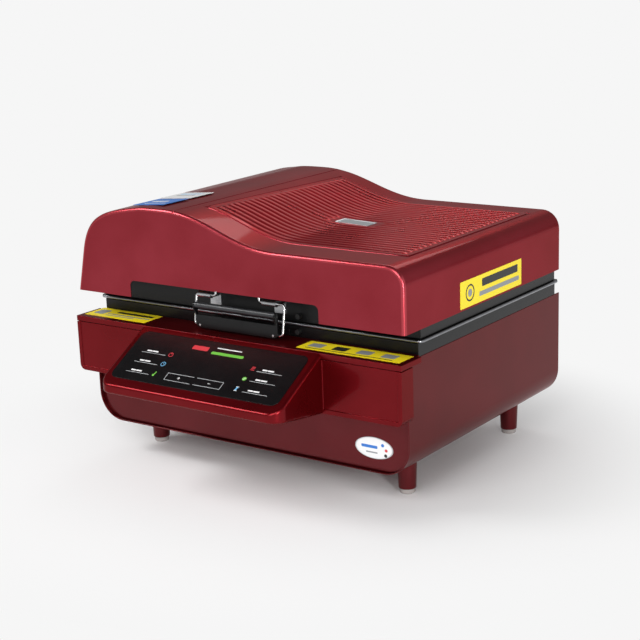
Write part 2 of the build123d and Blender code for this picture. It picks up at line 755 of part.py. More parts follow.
def make_hinge_pins():
    pins = []
    for x, width in hinge_places():
        reach = width / 2 + SIDE_GAP + EAR_THICKNESS
        shank = rod("X", (x, HINGE_Y, HINGE_Z), HINGE_PIN_RADIUS, 2 * reach)
        head = rod("X", (x - reach - 1, HINGE_Y, HINGE_Z), HINGE_PIN_RADIUS + 2, 2)
        tail = rod("X", (x + reach + 1, HINGE_Y, HINGE_Z), HINGE_PIN_RADIUS + 2, 2)
        pins.append(shank + head + tail)
    return group(pins)


def make_lid_hinge_arms():
    """Leaf, web and knuckle of each lid hinge, fixed to the heater box's rear wall."""
    arms = []
    half = KNUCKLE_WIDTH / 2
    for x in (-LID_HINGE_X, LID_HINGE_X):
        leaf = block(
            (x - half - 10, x + half + 10),
            (HEATER_REAR_Y, HEATER_REAR_Y + LEAF_THICKNESS),
            (HEATER_BOTTOM_Z, HEATER_STEP_Z - 1),
        )
        web = block(
            (x - half, x + half),
            (HEATER_REAR_Y + LEAF_THICKNESS - 1, HINGE_Y),
            (HEATER_BOTTOM_Z, HINGE_Z + 3),
        )
        barrel, bore = hinge_knuckle(x, KNUCKLE_WIDTH)
        arms.append(leaf + web + barrel - bore)
    return group(arms)


# Base.
WRAP_HALF = WRAP_WIDTH / 2
WRAP_INNER = WRAP_HALF - SHEET
FRONT_PANEL_Y = WRAP_FRONT_Y + FRONT_PANEL_RECESS
REAR_PANEL_Y = WRAP_REAR_Y - REAR_PANEL_RECESS
FLOOR_Z = BODY_BOTTOM_Z + SHEET


def u_section(half_width, bottom, top, radius, y_low, y_high):
    """Block with its two long bottom edges rounded."""
    solid = block((-half_width, half_width), (y_low, y_high), (bottom, top))
    edges = solid.edges().filter_by(Axis.Y).sort_by(Axis.Z)[:2]
    return fillet(edges, radius)


def make_base_wrap():
    outer = u_section(WRAP_HALF, BODY_BOTTOM_Z, WRAP_TOP_Z, WRAP_CORNER_RADIUS, WRAP_FRONT_Y, WRAP_REAR_Y)
    inner = u_section(
        WRAP_INNER,
        FLOOR_Z,
        WRAP_TOP_Z + SHEET,
        WRAP_CORNER_RADIUS - SHEET,
        WRAP_FRONT_Y - 1,
        WRAP_REAR_Y + 1,
    )
    return outer - inner


def make_front_panel():
    """Recessed lower front panel that closes the wrap and backs the fascia."""
    gap = FIT_GAP / 2
    return u_section(
        WRAP_INNER - gap,
        FLOOR_Z + gap,
        BODY_BOTTOM_Z + FRONT_PANEL_RISE,
        WRAP_CORNER_RADIUS - SHEET - gap,
        FRONT_PANEL_Y,
        FRONT_PANEL_Y + SHEET,
    )


def fan_centre_z():
    return FLOOR_Z + FAN_FLOOR_GAP + FAN_SIZE / 2


def make_rear_panel():
    gap = FIT_GAP / 2
    panel = u_section(
        WRAP_INNER - gap,
        FLOOR_Z + gap,
        WRAP_TOP_Z - 1,
        WRAP_CORNER_RADIUS - SHEET - gap,
        REAR_PANEL_Y - SHEET,
        REAR_PANEL_Y,
    )
    panel -= rod("Y", (FAN_X, REAR_PANEL_Y, fan_centre_z()), FAN_BORE_RADIUS, 4 * SHEET)
    panel -= block(
        (INLET_X - INLET_WIDTH / 2, INLET_X + INLET_WIDTH / 2),
        (REAR_PANEL_Y - 3 * SHEET, REAR_PANEL_Y + SHEET),
        (INLET_Z - INLET_HEIGHT / 2, INLET_Z + INLET_HEIGHT / 2),
    )
    panel -= block(
        (SWITCH_X - SWITCH_WIDTH / 2, SWITCH_X + SWITCH_WIDTH / 2),
        (REAR_PANEL_Y - 3 * SHEET, REAR_PANEL_Y + SHEET),
        (INLET_Z - SWITCH_HEIGHT / 2, INLET_Z + SWITCH_HEIGHT / 2),
    )
    vent = Box(4, 6 * SHEET, 46)
    vents = [Pos(10 + index * 11, REAR_PANEL_Y, fan_centre_z() + 20) * vent for index in range(-3, 6)]
    return panel - vents


# Fascia and ledge.
FASCIA_HALF = FASCIA_WIDTH / 2
LIP_TOP_Z = WRAP_TOP_Z + LEDGE_THICKNESS
LIP_BOTTOM_Z = LIP_TOP_Z - LIP_HEIGHT
FASCIA_TOP_Z = LIP_BOTTOM_Z - LIP_GROOVE
FASCIA_REAR_Y = WRAP_FRONT_Y - FASCIA_SEAM
CONSOLE_LEFT_X = CONSOLE_X - CONSOLE_WIDTH / 2
CONSOLE_RIGHT_X = CONSOLE_X + CONSOLE_WIDTH / 2


def make_fascia():
    """Front cover with a shallow pocket each side of the console."""
    wall = FASCIA_WALL
    low = FASCIA_BOTTOM_Z
    outer = block((-FASCIA_HALF, FASCIA_HALF), (FASCIA_FRONT_Y, FASCIA_REAR_Y), (low, FASCIA_TOP_Z))
    outer = fillet(outer.edges().filter_by(Axis.Y).sort_by(Axis.Z)[:2], FASCIA_CORNER_RADIUS)
    space = block(
        (-FASCIA_HALF + wall, FASCIA_HALF - wall),
        (FASCIA_FRONT_Y + wall, FASCIA_REAR_Y - wall),
        (low + wall, FASCIA_TOP_Z - wall),
    )
    space = fillet(space.edges().filter_by(Axis.Y).sort_by(Axis.Z)[:2], FASCIA_CORNER_RADIUS - wall)
    side = WRAP_HALF - BACK_OPENING_INSET
    back_y = (FASCIA_REAR_Y - 2 * wall, FASCIA_REAR_Y + 1)
    back = block((-side, side), back_y, (low + wall, FASCIA_TOP_Z + 1))
    reach = WRAP_INNER - FIT_GAP * 2
    shelf = block((-reach, reach), (FASCIA_REAR_Y - wall, FRONT_PANEL_Y), (low, low + wall))
    cover = outer - space - back + shelf
    left_pocket = (-FASCIA_HALF + POCKET_BORDER, CONSOLE_LEFT_X - 1)
    right_pocket = (CONSOLE_RIGHT_X + 1, FASCIA_HALF - POCKET_BORDER)
    for x_pair in (left_pocket, right_pocket):
        cover -= block(
            x_pair,
            (FASCIA_FRONT_Y - 1, FASCIA_FRONT_Y + POCKET_DEPTH),
            (low + POCKET_BORDER, FASCIA_TOP_Z + 1),
        )
    cover -= block(
        (CONSOLE_LEFT_X + CABLE_OPENING_INSET, CONSOLE_RIGHT_X - CABLE_OPENING_INSET),
        (FASCIA_FRONT_Y - 1, FASCIA_FRONT_Y + 2 * wall),
        (low + 20, FASCIA_TOP_Z - 15),
    )
    return cover


def make_ledge():
    """Deck in front of the vacuum box, with a lip that turns down over the fascia."""
    front = FASCIA_FRONT_Y
    deck = block((-FASCIA_HALF, FASCIA_HALF), (front, BOX_FRONT_Y - FIT_GAP), (WRAP_TOP_Z, LIP_TOP_Z))
    lip = block((-FASCIA_HALF, FASCIA_HALF), (front, front + FASCIA_WALL), (LIP_BOTTOM_Z, WRAP_TOP_Z))
    foot_x = CONSOLE_WIDTH / 2 - LEDGE_FOOT_INSET
    sides = []
    feet = []
    for side in (-1, 1):
        x_pair = sorted((side * (WRAP_HALF + 2), side * (FASCIA_HALF + 1)))
        deck -= block(x_pair, (front + LIP_RETURN, BOX_FRONT_Y), (WRAP_TOP_Z - 1, LIP_TOP_Z + 1))
        x_pair = sorted((side * FASCIA_HALF, side * (FASCIA_HALF - FASCIA_WALL)))
        sides.append(block(x_pair, (front, front + LIP_RETURN), (LIP_BOTTOM_Z, WRAP_TOP_Z)))
        x_pair = (side * foot_x - 8, side * foot_x + 8)
        feet.append(block(x_pair, (front + 4, front + 14), (FASCIA_TOP_Z, WRAP_TOP_Z)))
    return deck + lip + sides + feet


# Console.
SLOPE = math.radians(CONSOLE_SLOPE_DEG)
CONSOLE_TOP_Z = LIP_TOP_Z - 0.5
CONSOLE_FRONT_Y = FASCIA_FRONT_Y - CONSOLE_REACH
CONSOLE_BROW_Z = CONSOLE_TOP_Z - CONSOLE_REACH * math.tan(SLOPE)


def console_solid(inset):
    """Wedge-shaped console body, with every wall moved inwards by an inset."""
    drop = inset / math.cos(SLOPE)
    front = CONSOLE_FRONT_Y + inset
    rear = FASCIA_FRONT_Y + inset
    brow = CONSOLE_BROW_Z + inset * math.tan(SLOPE)
    section = yz_face([
        (FASCIA_FRONT_Y, CONSOLE_TOP_Z - drop),
        (front, brow - drop),
        (front, FASCIA_BOTTOM_Z + CONSOLE_UNDER_RISE + inset),
        (FASCIA_FRONT_Y, FASCIA_BOTTOM_Z - 1 + inset),
    ])
    body = side_extrude(section, CONSOLE_LEFT_X + inset, CONSOLE_RIGHT_X - inset)
    uprights = body.edges().filter_by(Axis.Z).sort_by(Axis.Y)[:2]
    body = fillet(uprights, CONSOLE_CORNER_RADIUS - inset)
    soft = [edge for edge in body.edges() if edge.center().Y < rear - 1 and not is_upright(edge)]
    radius = CONSOLE_EDGE_RADIUS - inset
    return fillet(soft, radius)


def is_upright(edge):
    """True for an edge that runs straight up."""
    span = edge.bounding_box().size
    return span.X < 0.01 and span.Y < 0.01


def make_console_housing():
    outer = console_solid(0)
    inner = console_solid(CONSOLE_WALL)
    inner += Pos(0, CONSOLE_WALL, 0) * inner
    return outer - inner


def slope_plane(lift):
    """Plane on the console's slope, origin at its upper edge, Y down the slope."""
    origin = (
        CONSOLE_X,
        FASCIA_FRONT_Y - lift * math.sin(SLOPE),
        CONSOLE_TOP_Z + lift * math.cos(SLOPE),
    )
    return Plane(origin=origin, x_dir=(1, 0, 0), z_dir=(0, -math.sin(SLOPE), math.cos(SLOPE)))


def slope_slab(width, start, length, bottom, thickness, radius):
    """Rounded slab lying along the slope, between two distances from its upper edge."""
    sketch = Pos(0, -start - length / 2) * RectangleRounded(width, length, radius)
    return extrude(slope_plane(bottom) * sketch, amount=thickness)


def make_touch_film():
    return slope_slab(FILM_WIDTH, FILM_TOP_MARGIN, FILM_LENGTH, 0, FILM_THICKNESS, FILM_CORNER_RADIUS)


def make_control_board():
    """Circuit board under the touch film, on four posts."""
    depth = CONSOLE_WALL + BOARD_STANDOFF + BOARD_THICKNESS
    start = FILM_TOP_MARGIN + 14
    board = slope_slab(BOARD_WIDTH, start, BOARD_LENGTH, -depth, BOARD_THICKNESS, 3)
    for side in (-1, 1):
        for along in (start + 6, start + BOARD_LENGTH - 6):
            sketch = Pos(side * (BOARD_WIDTH / 2 - 6), -along) * Circle(3)
            board += extrude(slope_plane(-CONSOLE_WALL - BOARD_STANDOFF) * sketch, amount=BOARD_STANDOFF)
    display = slope_slab(120, start + 8, 24, -CONSOLE_WALL - BOARD_STANDOFF, 5, 1)
    return board + display


# Vacuum box.
TUB_BOTTOM_Z = BOX_TOP_Z - TUB_DEPTH - BOX_WALL
PORT_Y = PUMP_Y
PORT_RADIUS = 6.0


def make_vacuum_box():
    rim = block((-BOX_RIM_HALF, BOX_RIM_HALF), (BOX_FRONT_Y, BOX_REAR_Y), (WRAP_TOP_Z, BOX_TOP_Z))
    under = block(
        (-BOX_RIM_HALF + BOX_WALL, BOX_RIM_HALF - BOX_WALL),
        (BOX_FRONT_Y + BOX_WALL, BOX_REAR_Y - BOX_WALL),
        (WRAP_TOP_Z - 1, BOX_TOP_Z - BOX_WALL),
    )
    tub = window(BOX_WALL, TUB_BOTTOM_Z, BOX_TOP_Z)
    well = window(0, TUB_BOTTOM_Z + BOX_WALL, BOX_TOP_Z + 1)
    port = rod("Z", (VALVE_X, PORT_Y, TUB_BOTTOM_Z), PORT_RADIUS, 4 * BOX_WALL)
    return rim - under + tub - well - port


def make_gasket():
    """Silicone seal around the tub's mouth."""
    top = BOX_TOP_Z + GASKET_THICKNESS
    return window(2 + GASKET_WIDTH, BOX_TOP_Z, top) - window(2, BOX_TOP_Z - 1, top + 1)


def make_perforated_bed():
    floor = TUB_BOTTOM_Z + BOX_WALL
    low = floor + BED_RISE
    plate = rounded_block(
        (-TUB_LENGTH / 2 + 2, TUB_LENGTH / 2 - 2),
        (TUB_MIDDLE_Y - TUB_WIDTH / 2 + 2, TUB_MIDDLE_Y + TUB_WIDTH / 2 - 2),
        (low, low + BED_THICKNESS),
        TUB_CORNER_RADIUS - 2,
    )
    columns = int((TUB_LENGTH - 40) // BED_PITCH)
    rows = int((TUB_WIDTH - 40) // BED_PITCH)
    holes = [
        Pos(0, TUB_MIDDLE_Y, low) * place * Cylinder(BED_HOLE_RADIUS, 4 * BED_THICKNESS)
        for place in GridLocations(BED_PITCH, BED_PITCH, columns, rows)
    ]
    return plate - holes


def make_bed_feet():
    floor = TUB_BOTTOM_Z + BOX_WALL
    feet = []
    for x in (-TUB_LENGTH / 2 + 30, 0, TUB_LENGTH / 2 - 30):
        for y in (TUB_MIDDLE_Y - TUB_WIDTH / 2 + 30, TUB_MIDDLE_Y + TUB_WIDTH / 2 - 30):
            feet.append(rod("Z", (x, y, floor + BED_RISE / 2), 7, BED_RISE))
    return group(feet)


# Latch.
def bail_side(side, barrel_x):
    """One latch wire: a raised end, a run through its barrel, a leg and an inward foot."""
    inner_end = barrel_x - side * (BARREL_LENGTH / 2 + 8)
    ear_inside = HANDLE_HALF_WIDTH - HANDLE_EAR - CATCH_ARM_WIDTH - 3
    points = [
        (inner_end, BAIL_PIVOT_Y, BAIL_PIVOT_Z + WIRE_END_RISE),
        (inner_end, BAIL_PIVOT_Y, BAIL_PIVOT_Z),
        (side * BAIL_HALF_WIDTH, BAIL_PIVOT_Y, BAIL_PIVOT_Z),
        (side * BAIL_HALF_WIDTH, BAIL_FOOT_Y, BAIL_FOOT_Z),
        (side * ear_inside, BAIL_FOOT_Y, BAIL_FOOT_Z),
    ]
    path = FilletPolyline(*points, radius=WIRE_BEND_RADIUS)
    start = Plane(origin=points[0], z_dir=(0, 0, 1))
    return sweep(start * Circle(WIRE_RADIUS), path=path)


def make_bail_wires():
    return group([bail_side(-1, BARREL_LEFT_X), bail_side(1, BARREL_RIGHT_X)])


def make_bail_barrels():
    """Sleeves that carry the latch wires, each on a strap from the heater box."""
    barrels = []
    for x in (BARREL_LEFT_X, BARREL_RIGHT_X):
        sleeve = rod("X", (x, BAIL_PIVOT_Y, BAIL_PIVOT_Z), BARREL_RADIUS, BARREL_LENGTH)
        strap_top = BAIL_PIVOT_Z - WIRE_RADIUS - 0.8
        strap = block(
            (x - BARREL_LENGTH / 2 + 2, x + BARREL_LENGTH / 2 - 2),
            (BAIL_PIVOT_Y, HEATER_FRONT_Y),
            (strap_top - 2, strap_top),
        )
        foot = block(
            (x - BARREL_LENGTH / 2 + 2, x + BARREL_LENGTH / 2 - 2),
            (HEATER_FRONT_Y - 2, HEATER_FRONT_Y),
            (HEATER_STEP_Z - 20, HEATER_STEP_Z - 1),
        )
        bore = rod("X", (x, BAIL_PIVOT_Y, BAIL_PIVOT_Z), WIRE_RADIUS + RUNNING_GAP, BARREL_LENGTH + 2)
        barrels.append(sleeve + strap + foot - bore)
    return group(barrels)


def make_latch_handle():
    """Low plate between two ears that turn on the wires' feet and carry the grip."""
    front = BAIL_FOOT_Y - HANDLE_PLATE_FRONT
    plate = block(
        (-HANDLE_HALF_WIDTH, HANDLE_HALF_WIDTH),
        (front, front + HANDLE_PLATE_THICKNESS),
        (HANDLE_PLATE_BOTTOM_Z, HANDLE_PLATE_TOP_Z),
    )
    plate = fillet(plate.edges().filter_by(Axis.Y).sort_by(Axis.Z)[:2], HANDLE_CORNER_RADIUS)
    ear_face = yz_face([
        (front, HANDLE_PLATE_BOTTOM_Z + HANDLE_CORNER_RADIUS / 2),
        (BAIL_FOOT_Y + 5, HANDLE_PLATE_BOTTOM_Z + HANDLE_CORNER_RADIUS / 2 - 4),
        (BAIL_FOOT_Y + 5, BAIL_FOOT_Z + 5),
        (GRIP_Y + GRIP_RADIUS, HANDLE_PLATE_TOP_Z),
        (GRIP_Y + GRIP_RADIUS, GRIP_Z),
        (GRIP_Y - GRIP_RADIUS, GRIP_Z),
        (GRIP_Y - GRIP_RADIUS, GRIP_Z - 5),
        (front, HANDLE_PLATE_TOP_Z - 2),
    ])
    handle = plate
    for side in (-1, 1):
        x_pair = sorted((side * HANDLE_HALF_WIDTH, side * (HANDLE_HALF_WIDTH - HANDLE_EAR)))
        ear = side_extrude(ear_face, x_pair[0], x_pair[1])
        ear_x = side * (HANDLE_HALF_WIDTH - HANDLE_EAR / 2)
        cap = rod("X", (ear_x, GRIP_Y, GRIP_Z), GRIP_RADIUS, HANDLE_EAR)
        hole = rod("X", (side * HANDLE_HALF_WIDTH, BAIL_FOOT_Y, BAIL_FOOT_Z), WIRE_RADIUS + RUNNING_GAP, 12)
        handle = handle + ear + cap - hole
    return handle


def make_grip_bar():
    return rod("X", (0, GRIP_Y, GRIP_Z), GRIP_RADIUS, 2 * (HANDLE_HALF_WIDTH - HANDLE_EAR))


def make_handle_rivets():
    front = BAIL_FOOT_Y - HANDLE_PLATE_FRONT
    x = HANDLE_HALF_WIDTH - 8
    return group(rod("Y", (side * x, front - 0.5, BAIL_FOOT_Z), RIVET_RADIUS, 1) for side in (-1, 1))


def make_catch_bracket():
    """Angle on the box's rim whose two arms reach over the wires' feet."""
    arm_outer = HANDLE_HALF_WIDTH - HANDLE_EAR - 1
    low = BAIL_FOOT_Z + WIRE_RADIUS + CATCH_GAP
    plate = block(
        (-arm_outer, arm_outer),
        (BOX_FRONT_Y - SHEET, BOX_FRONT_Y),
        (LIP_TOP_Z + 1, low + CATCH_THICKNESS),
    )
    arms = []
    for side in (-1, 1):
        x_pair = sorted((side * arm_outer, side * (arm_outer - CATCH_ARM_WIDTH)))
        arms.append(block(x_pair, (BAIL_FOOT_Y - WIRE_RADIUS, BOX_FRONT_Y), (low, low + CATCH_THICKNESS)))
    return plate + arms


def make_lid_sensor():
    """Stud switch on the box's rim that feels the lid's magnet."""
    return rod("Y", (92, BOX_FRONT_Y - 3, WRAP_TOP_Z + RIM_HEIGHT / 2 + 2), 4, 6)


def make_sensor_magnet():
    return rod("Y", (92, HEATER_FRONT_Y - 3, HEATER_BOTTOM_Z + BAND_REVEAL / 2), 4, 6)


# Legs.
def leg_places():
    return [(x, y) for x in (-LEG_X, LEG_X) for y in (LEG_FRONT_Y, LEG_REAR_Y)]


def make_legs():
    """Tapered legs under the wrap."""
    legs = []
    for x, y in leg_places():
        cone = Cone(LEG_BOTTOM_RADIUS, LEG_TOP_RADIUS, LEG_HEIGHT)
        legs.append(Pos(x, y, PAD_HEIGHT + LEG_HEIGHT / 2) * cone)
    return group(legs)


def make_foot_pads():
    """Soft pads with rounded lower edges."""
    pads = []
    for x, y in leg_places():
        pad = Cylinder(PAD_RADIUS, PAD_HEIGHT)
        pad = fillet(pad.edges().sort_by(Axis.Z)[0], PAD_HEIGHT / 3)
        pads.append(Pos(x, y, PAD_HEIGHT / 2) * pad)
    return group(pads)


# Cooling fan in the rear panel.
FAN_REAR_Y = REAR_PANEL_Y - SHEET
FAN_FRONT_Y = FAN_REAR_Y - FAN_DEPTH
FAN_PIN_RADIUS = 3.0


def make_fan_frame():
    z = fan_centre_z()
    half = FAN_SIZE / 2
    body = block((FAN_X - half, FAN_X + half), (FAN_FRONT_Y, FAN_REAR_Y), (z - half, z + half))
    body = fillet(body.edges().filter_by(Axis.Y), 6)
    body -= rod("Y", (FAN_X, (FAN_FRONT_Y + FAN_REAR_Y) / 2, z), FAN_BORE_RADIUS, FAN_DEPTH + 2)
    spoke = FAN_BORE_RADIUS + 2
    for turn in (45, 135, 225, 315):
        arm = Pos(spoke / 2, 0, 0) * Box(spoke, 3, 5)
        body += Pos(FAN_X, FAN_FRONT_Y + 1.5, z) * Rot(0, turn, 0) * arm
    body += rod("Y", (FAN_X, FAN_FRONT_Y + 1.5, z), FAN_HUB_RADIUS, 3)
    return body + rod("Y", (FAN_X, FAN_FRONT_Y + 9, z), FAN_PIN_RADIUS, 14)


def make_fan_rotor():
    z = fan_centre_z()
    depth = FAN_DEPTH - 7
    middle_y = FAN_FRONT_Y + 4 + depth / 2
    wheel = rod("Y", (FAN_X, middle_y, z), FAN_HUB_RADIUS, depth)
    reach = FAN_BORE_RADIUS - FAN_TIP_GAP - FAN_HUB_RADIUS
    for index in range(7):
        blade = Pos(FAN_HUB_RADIUS - 2 + (reach + 2) / 2, 0, 0) * Rot(38, 0, 0) * Box(reach + 2, 1.6, 20)
        wheel += Pos(FAN_X, middle_y, z) * Rot(0, index * 360 / 7, 0) * blade
    bore = rod("Y", (FAN_X, FAN_FRONT_Y + 9, z), FAN_PIN_RADIUS + RUNNING_GAP, 15)
    return wheel - bore


def make_fan_guard():
    """Wire guard over the fan, seated on the rear panel."""
    z = fan_centre_z()
    y = REAR_PANEL_Y + GUARD_WIRE_RADIUS
    guard = None
    for radius in (14, 28, 42, FAN_BORE_RADIUS + 2):
        ring = Pos(FAN_X, y, z) * Rot(90, 0, 0) * Torus(radius, GUARD_WIRE_RADIUS)
        guard = ring if guard is None else guard + ring
    for turn in (0, 90):
        bar = Rot(0, turn, 0) * Rot(0, 90, 0) * Cylinder(GUARD_WIRE_RADIUS, 2 * FAN_BORE_RADIUS + 6)
        guard += Pos(FAN_X, y, z) * bar
    return guard


# Mains inlet and switch.
def make_mains_inlet():
    """Panel inlet with a socket mouth and three pins."""
    rear = REAR_PANEL_Y
    flange = block(
        (INLET_X - INLET_WIDTH / 2 - 9, INLET_X + INLET_WIDTH / 2 + 9),
        (rear, rear + 3),
        (INLET_Z - INLET_HEIGHT / 2 - 4, INLET_Z + INLET_HEIGHT / 2 + 4),
    )
    body = block(
        (INLET_X - INLET_WIDTH / 2, INLET_X + INLET_WIDTH / 2),
        (rear - INLET_DEPTH, rear),
        (INLET_Z - INLET_HEIGHT / 2, INLET_Z + INLET_HEIGHT / 2),
    )
    mouth = block(
        (INLET_X - INLET_WIDTH / 2 + 2, INLET_X + INLET_WIDTH / 2 - 2),
        (rear - INLET_DEPTH + 4, rear + 4),
        (INLET_Z - INLET_HEIGHT / 2 + 2, INLET_Z + INLET_HEIGHT / 2 - 2),
    )
    shell = flange + body - mouth
    pins = []
    for x, z in ((-7, -2), (0, 2), (7, -2)):
        pins.append(block(
            (INLET_X + x - 1, INLET_X + x + 1),
            (rear - INLET_DEPTH + 3, rear - 8),
            (INLET_Z + z - 2, INLET_Z + z + 2),
        ))
    return shell + pins


def make_switch_bezel():
    rear = REAR_PANEL_Y
    flange = block(
        (SWITCH_X - SWITCH_WIDTH / 2 - 2, SWITCH_X + SWITCH_WIDTH / 2 + 2),
        (rear, rear + 2),
        (INLET_Z - SWITCH_HEIGHT / 2 - 2, INLET_Z + SWITCH_HEIGHT / 2 + 2),
    )
    body = block(
        (SWITCH_X - SWITCH_WIDTH / 2, SWITCH_X + SWITCH_WIDTH / 2),
        (rear - 22, rear),
        (INLET_Z - SWITCH_HEIGHT / 2, INLET_Z + SWITCH_HEIGHT / 2),
    )
    space = block(
        (SWITCH_X - SWITCH_WIDTH / 2 + 2, SWITCH_X + SWITCH_WIDTH / 2 - 2),
        (rear - 14, rear + 3),
        (INLET_Z - SWITCH_HEIGHT / 2 + 2, INLET_Z + SWITCH_HEIGHT / 2 - 2),
    )
    socket = rod("X", (SWITCH_X, REAR_PANEL_Y - 4, INLET_Z), 2 + RUNNING_GAP, SWITCH_WIDTH - 2)
    return flange + body - space - socket


def make_switch_rocker():
    """Rocker on two trunnions, pressed in at its lower end."""
    half_x = SWITCH_WIDTH / 2 - 2 - SIDE_GAP
    half_z = SWITCH_HEIGHT / 2 - 4
    pivot = (SWITCH_X, REAR_PANEL_Y - 4, INLET_Z)
    face = yz_face([(5, -half_z), (3.5, 0), (5, half_z), (-4, half_z - 3), (-4, -half_z + 3)])
    cap = side_extrude(face, -half_x, half_x)
    axle = rod("X", (0, 0, 0), 2, SWITCH_WIDTH - 3)
    return Pos(*pivot) * Rot(ROCKER_TILT_DEG, 0, 0) * (cap + axle)


# Vacuum pump, hose and valve.
PUMP_AXIS_Z = FLOOR_Z + PUMP_MOUNT_HEIGHT + PUMP_BASE_THICKNESS + PUMP_MOTOR_RADIUS
PUMP_DECK_Z = FLOOR_Z + PUMP_MOUNT_HEIGHT + PUMP_BASE_THICKNESS
PUMP_LEFT_X = PUMP_X - PUMP_MOTOR_LENGTH / 2
PUMP_RIGHT_X = PUMP_X + PUMP_MOTOR_LENGTH / 2
HEAD_RIGHT_X = PUMP_RIGHT_X + PUMP_HEAD_LENGTH


def make_pump_base():
    return block(
        (PUMP_LEFT_X, HEAD_RIGHT_X), (PUMP_Y - PUMP_HEAD_WIDTH / 2, PUMP_Y + PUMP_HEAD_WIDTH / 2),
        (PUMP_DECK_Z - PUMP_BASE_THICKNESS, PUMP_DECK_Z),
    )


def make_pump_mounts():
    mounts = []
    for x in (PUMP_LEFT_X + 12, HEAD_RIGHT_X - 12):
        for y in (PUMP_Y - PUMP_HEAD_WIDTH / 2 + 12, PUMP_Y + PUMP_HEAD_WIDTH / 2 - 12):
            mounts.append(rod("Z", (x, y, FLOOR_Z + PUMP_MOUNT_HEIGHT / 2), 9, PUMP_MOUNT_HEIGHT))
    return group(mounts)


def make_pump_motor():
    body = rod("X", (PUMP_X, PUMP_Y, PUMP_AXIS_Z), PUMP_MOTOR_RADIUS, PUMP_MOTOR_LENGTH)
    saddle = block(
        (PUMP_X - 40, PUMP_X + 40), (PUMP_Y - 22, PUMP_Y + 22), (PUMP_DECK_Z, PUMP_AXIS_Z - 20)
    )
    bore = rod("X", (PUMP_X, PUMP_Y, PUMP_AXIS_Z), PUMP_SHAFT_RADIUS + RUNNING_GAP, PUMP_MOTOR_LENGTH + 2)
    return body + saddle - bore


def make_pump_head():
    """Diaphragm head with the shaft's bore and a hose barb on its end."""
    head = block(
        (PUMP_RIGHT_X, HEAD_RIGHT_X),
        (PUMP_Y - PUMP_HEAD_WIDTH / 2, PUMP_Y + PUMP_HEAD_WIDTH / 2),
        (PUMP_DECK_Z, PUMP_DECK_Z + PUMP_HEAD_HEIGHT),
    )
    head = fillet(head.edges().filter_by(Axis.X), 8)
    well = rod("X", (PUMP_RIGHT_X + 15, PUMP_Y, PUMP_AXIS_Z), PUMP_SHAFT_RADIUS + RUNNING_GAP, 30.2)
    barb = rod("X", (HEAD_RIGHT_X + 4, PUMP_Y, PUMP_AXIS_Z), HOSE_RADIUS, 8)
    return head + barb - well


def make_pump_rotor():
    """Motor shaft with its small cooling impeller at the free end."""
    left = PUMP_LEFT_X - 16
    right = PUMP_RIGHT_X + 28
    shaft = rod("X", ((left + right) / 2, PUMP_Y, PUMP_AXIS_Z), PUMP_SHAFT_RADIUS, right - left)
    wheel = shaft + rod("X", (PUMP_LEFT_X - 9, PUMP_Y, PUMP_AXIS_Z), 11, 12)
    for index in range(6):
        blade = Pos(0, 0, 19) * Box(10, 1.6, 20)
        wheel += Pos(PUMP_LEFT_X - 9, PUMP_Y, PUMP_AXIS_Z) * Rot(index * 60, 0, 0) * blade
    return wheel


def make_release_valve():
    """Solenoid valve under the tub's port, with a barb for the hose."""
    half = VALVE_SIZE / 2
    body = block(
        (VALVE_X - half, VALVE_X + half),
        (PORT_Y - half, PORT_Y + half),
        (TUB_BOTTOM_Z - VALVE_HEIGHT, TUB_BOTTOM_Z),
    )
    coil = rod("X", (VALVE_X + half + 14, PORT_Y, TUB_BOTTOM_Z - VALVE_HEIGHT / 2), 8.5, 28)
    barb = rod("Z", (VALVE_X, PORT_Y, TUB_BOTTOM_Z - VALVE_HEIGHT - 4), HOSE_RADIUS, 8)
    return body + coil + barb


def make_vacuum_hose():
    """Hose from the pump head's barb round one bend up to the valve's barb."""
    start = (HEAD_RIGHT_X + 8, PUMP_Y, PUMP_AXIS_Z)
    corner = (VALVE_X, PORT_Y, PUMP_AXIS_Z)
    end = (VALVE_X, PORT_Y, TUB_BOTTOM_Z - VALVE_HEIGHT - 8)
    path = FilletPolyline(start, corner, end, radius=HOSE_BEND_RADIUS)
    return sweep(Plane(origin=start, z_dir=(1, 0, 0)) * Circle(HOSE_RADIUS), path=path)


# Power electronics on the wrap's floor.
def make_power_board():
    """Power board on four posts, with a relay bank and a heat sink."""
    x = WRAP_HALF - POWER_BOARD_INSET
    y = POWER_BOARD_Y
    low = FLOOR_Z + POWER_BOARD_RISE
    top = low + BOARD_THICKNESS
    half_x = POWER_BOARD_LENGTH / 2
    half_y = POWER_BOARD_WIDTH / 2
    board = block((x - half_x, x + half_x), (y - half_y, y + half_y), (low, top))
    for side_x in (-1, 1):
        for side_y in (-1, 1):
            corner = (x + side_x * (half_x - 8), y + side_y * (half_y - 8), FLOOR_Z + POWER_BOARD_RISE / 2)
            board += rod("Z", corner, 4, POWER_BOARD_RISE)
    relays = block((x - 50, x - 30), (y - 30, y + 30), (top, FLOOR_Z + 28))
    sink = block((x + 10, x + 55), (y - 20, y + 20), (top, FLOOR_Z + 40))
    return board + relays + sink


def make_transformer():
    """Laminated core with its coil."""
    x = WRAP_HALF - TRANSFORMER_INSET
    y = TRANSFORMER_Y
    core = block((x - 33, x + 33), (y - 26, y + 26), (FLOOR_Z, FLOOR_Z + TRANSFORMER_HEIGHT))
    coil = block((x - 20, x + 20), (y - 36, y + 36), (FLOOR_Z + 10, FLOOR_Z + TRANSFORMER_HEIGHT - 10))
    return core + coil


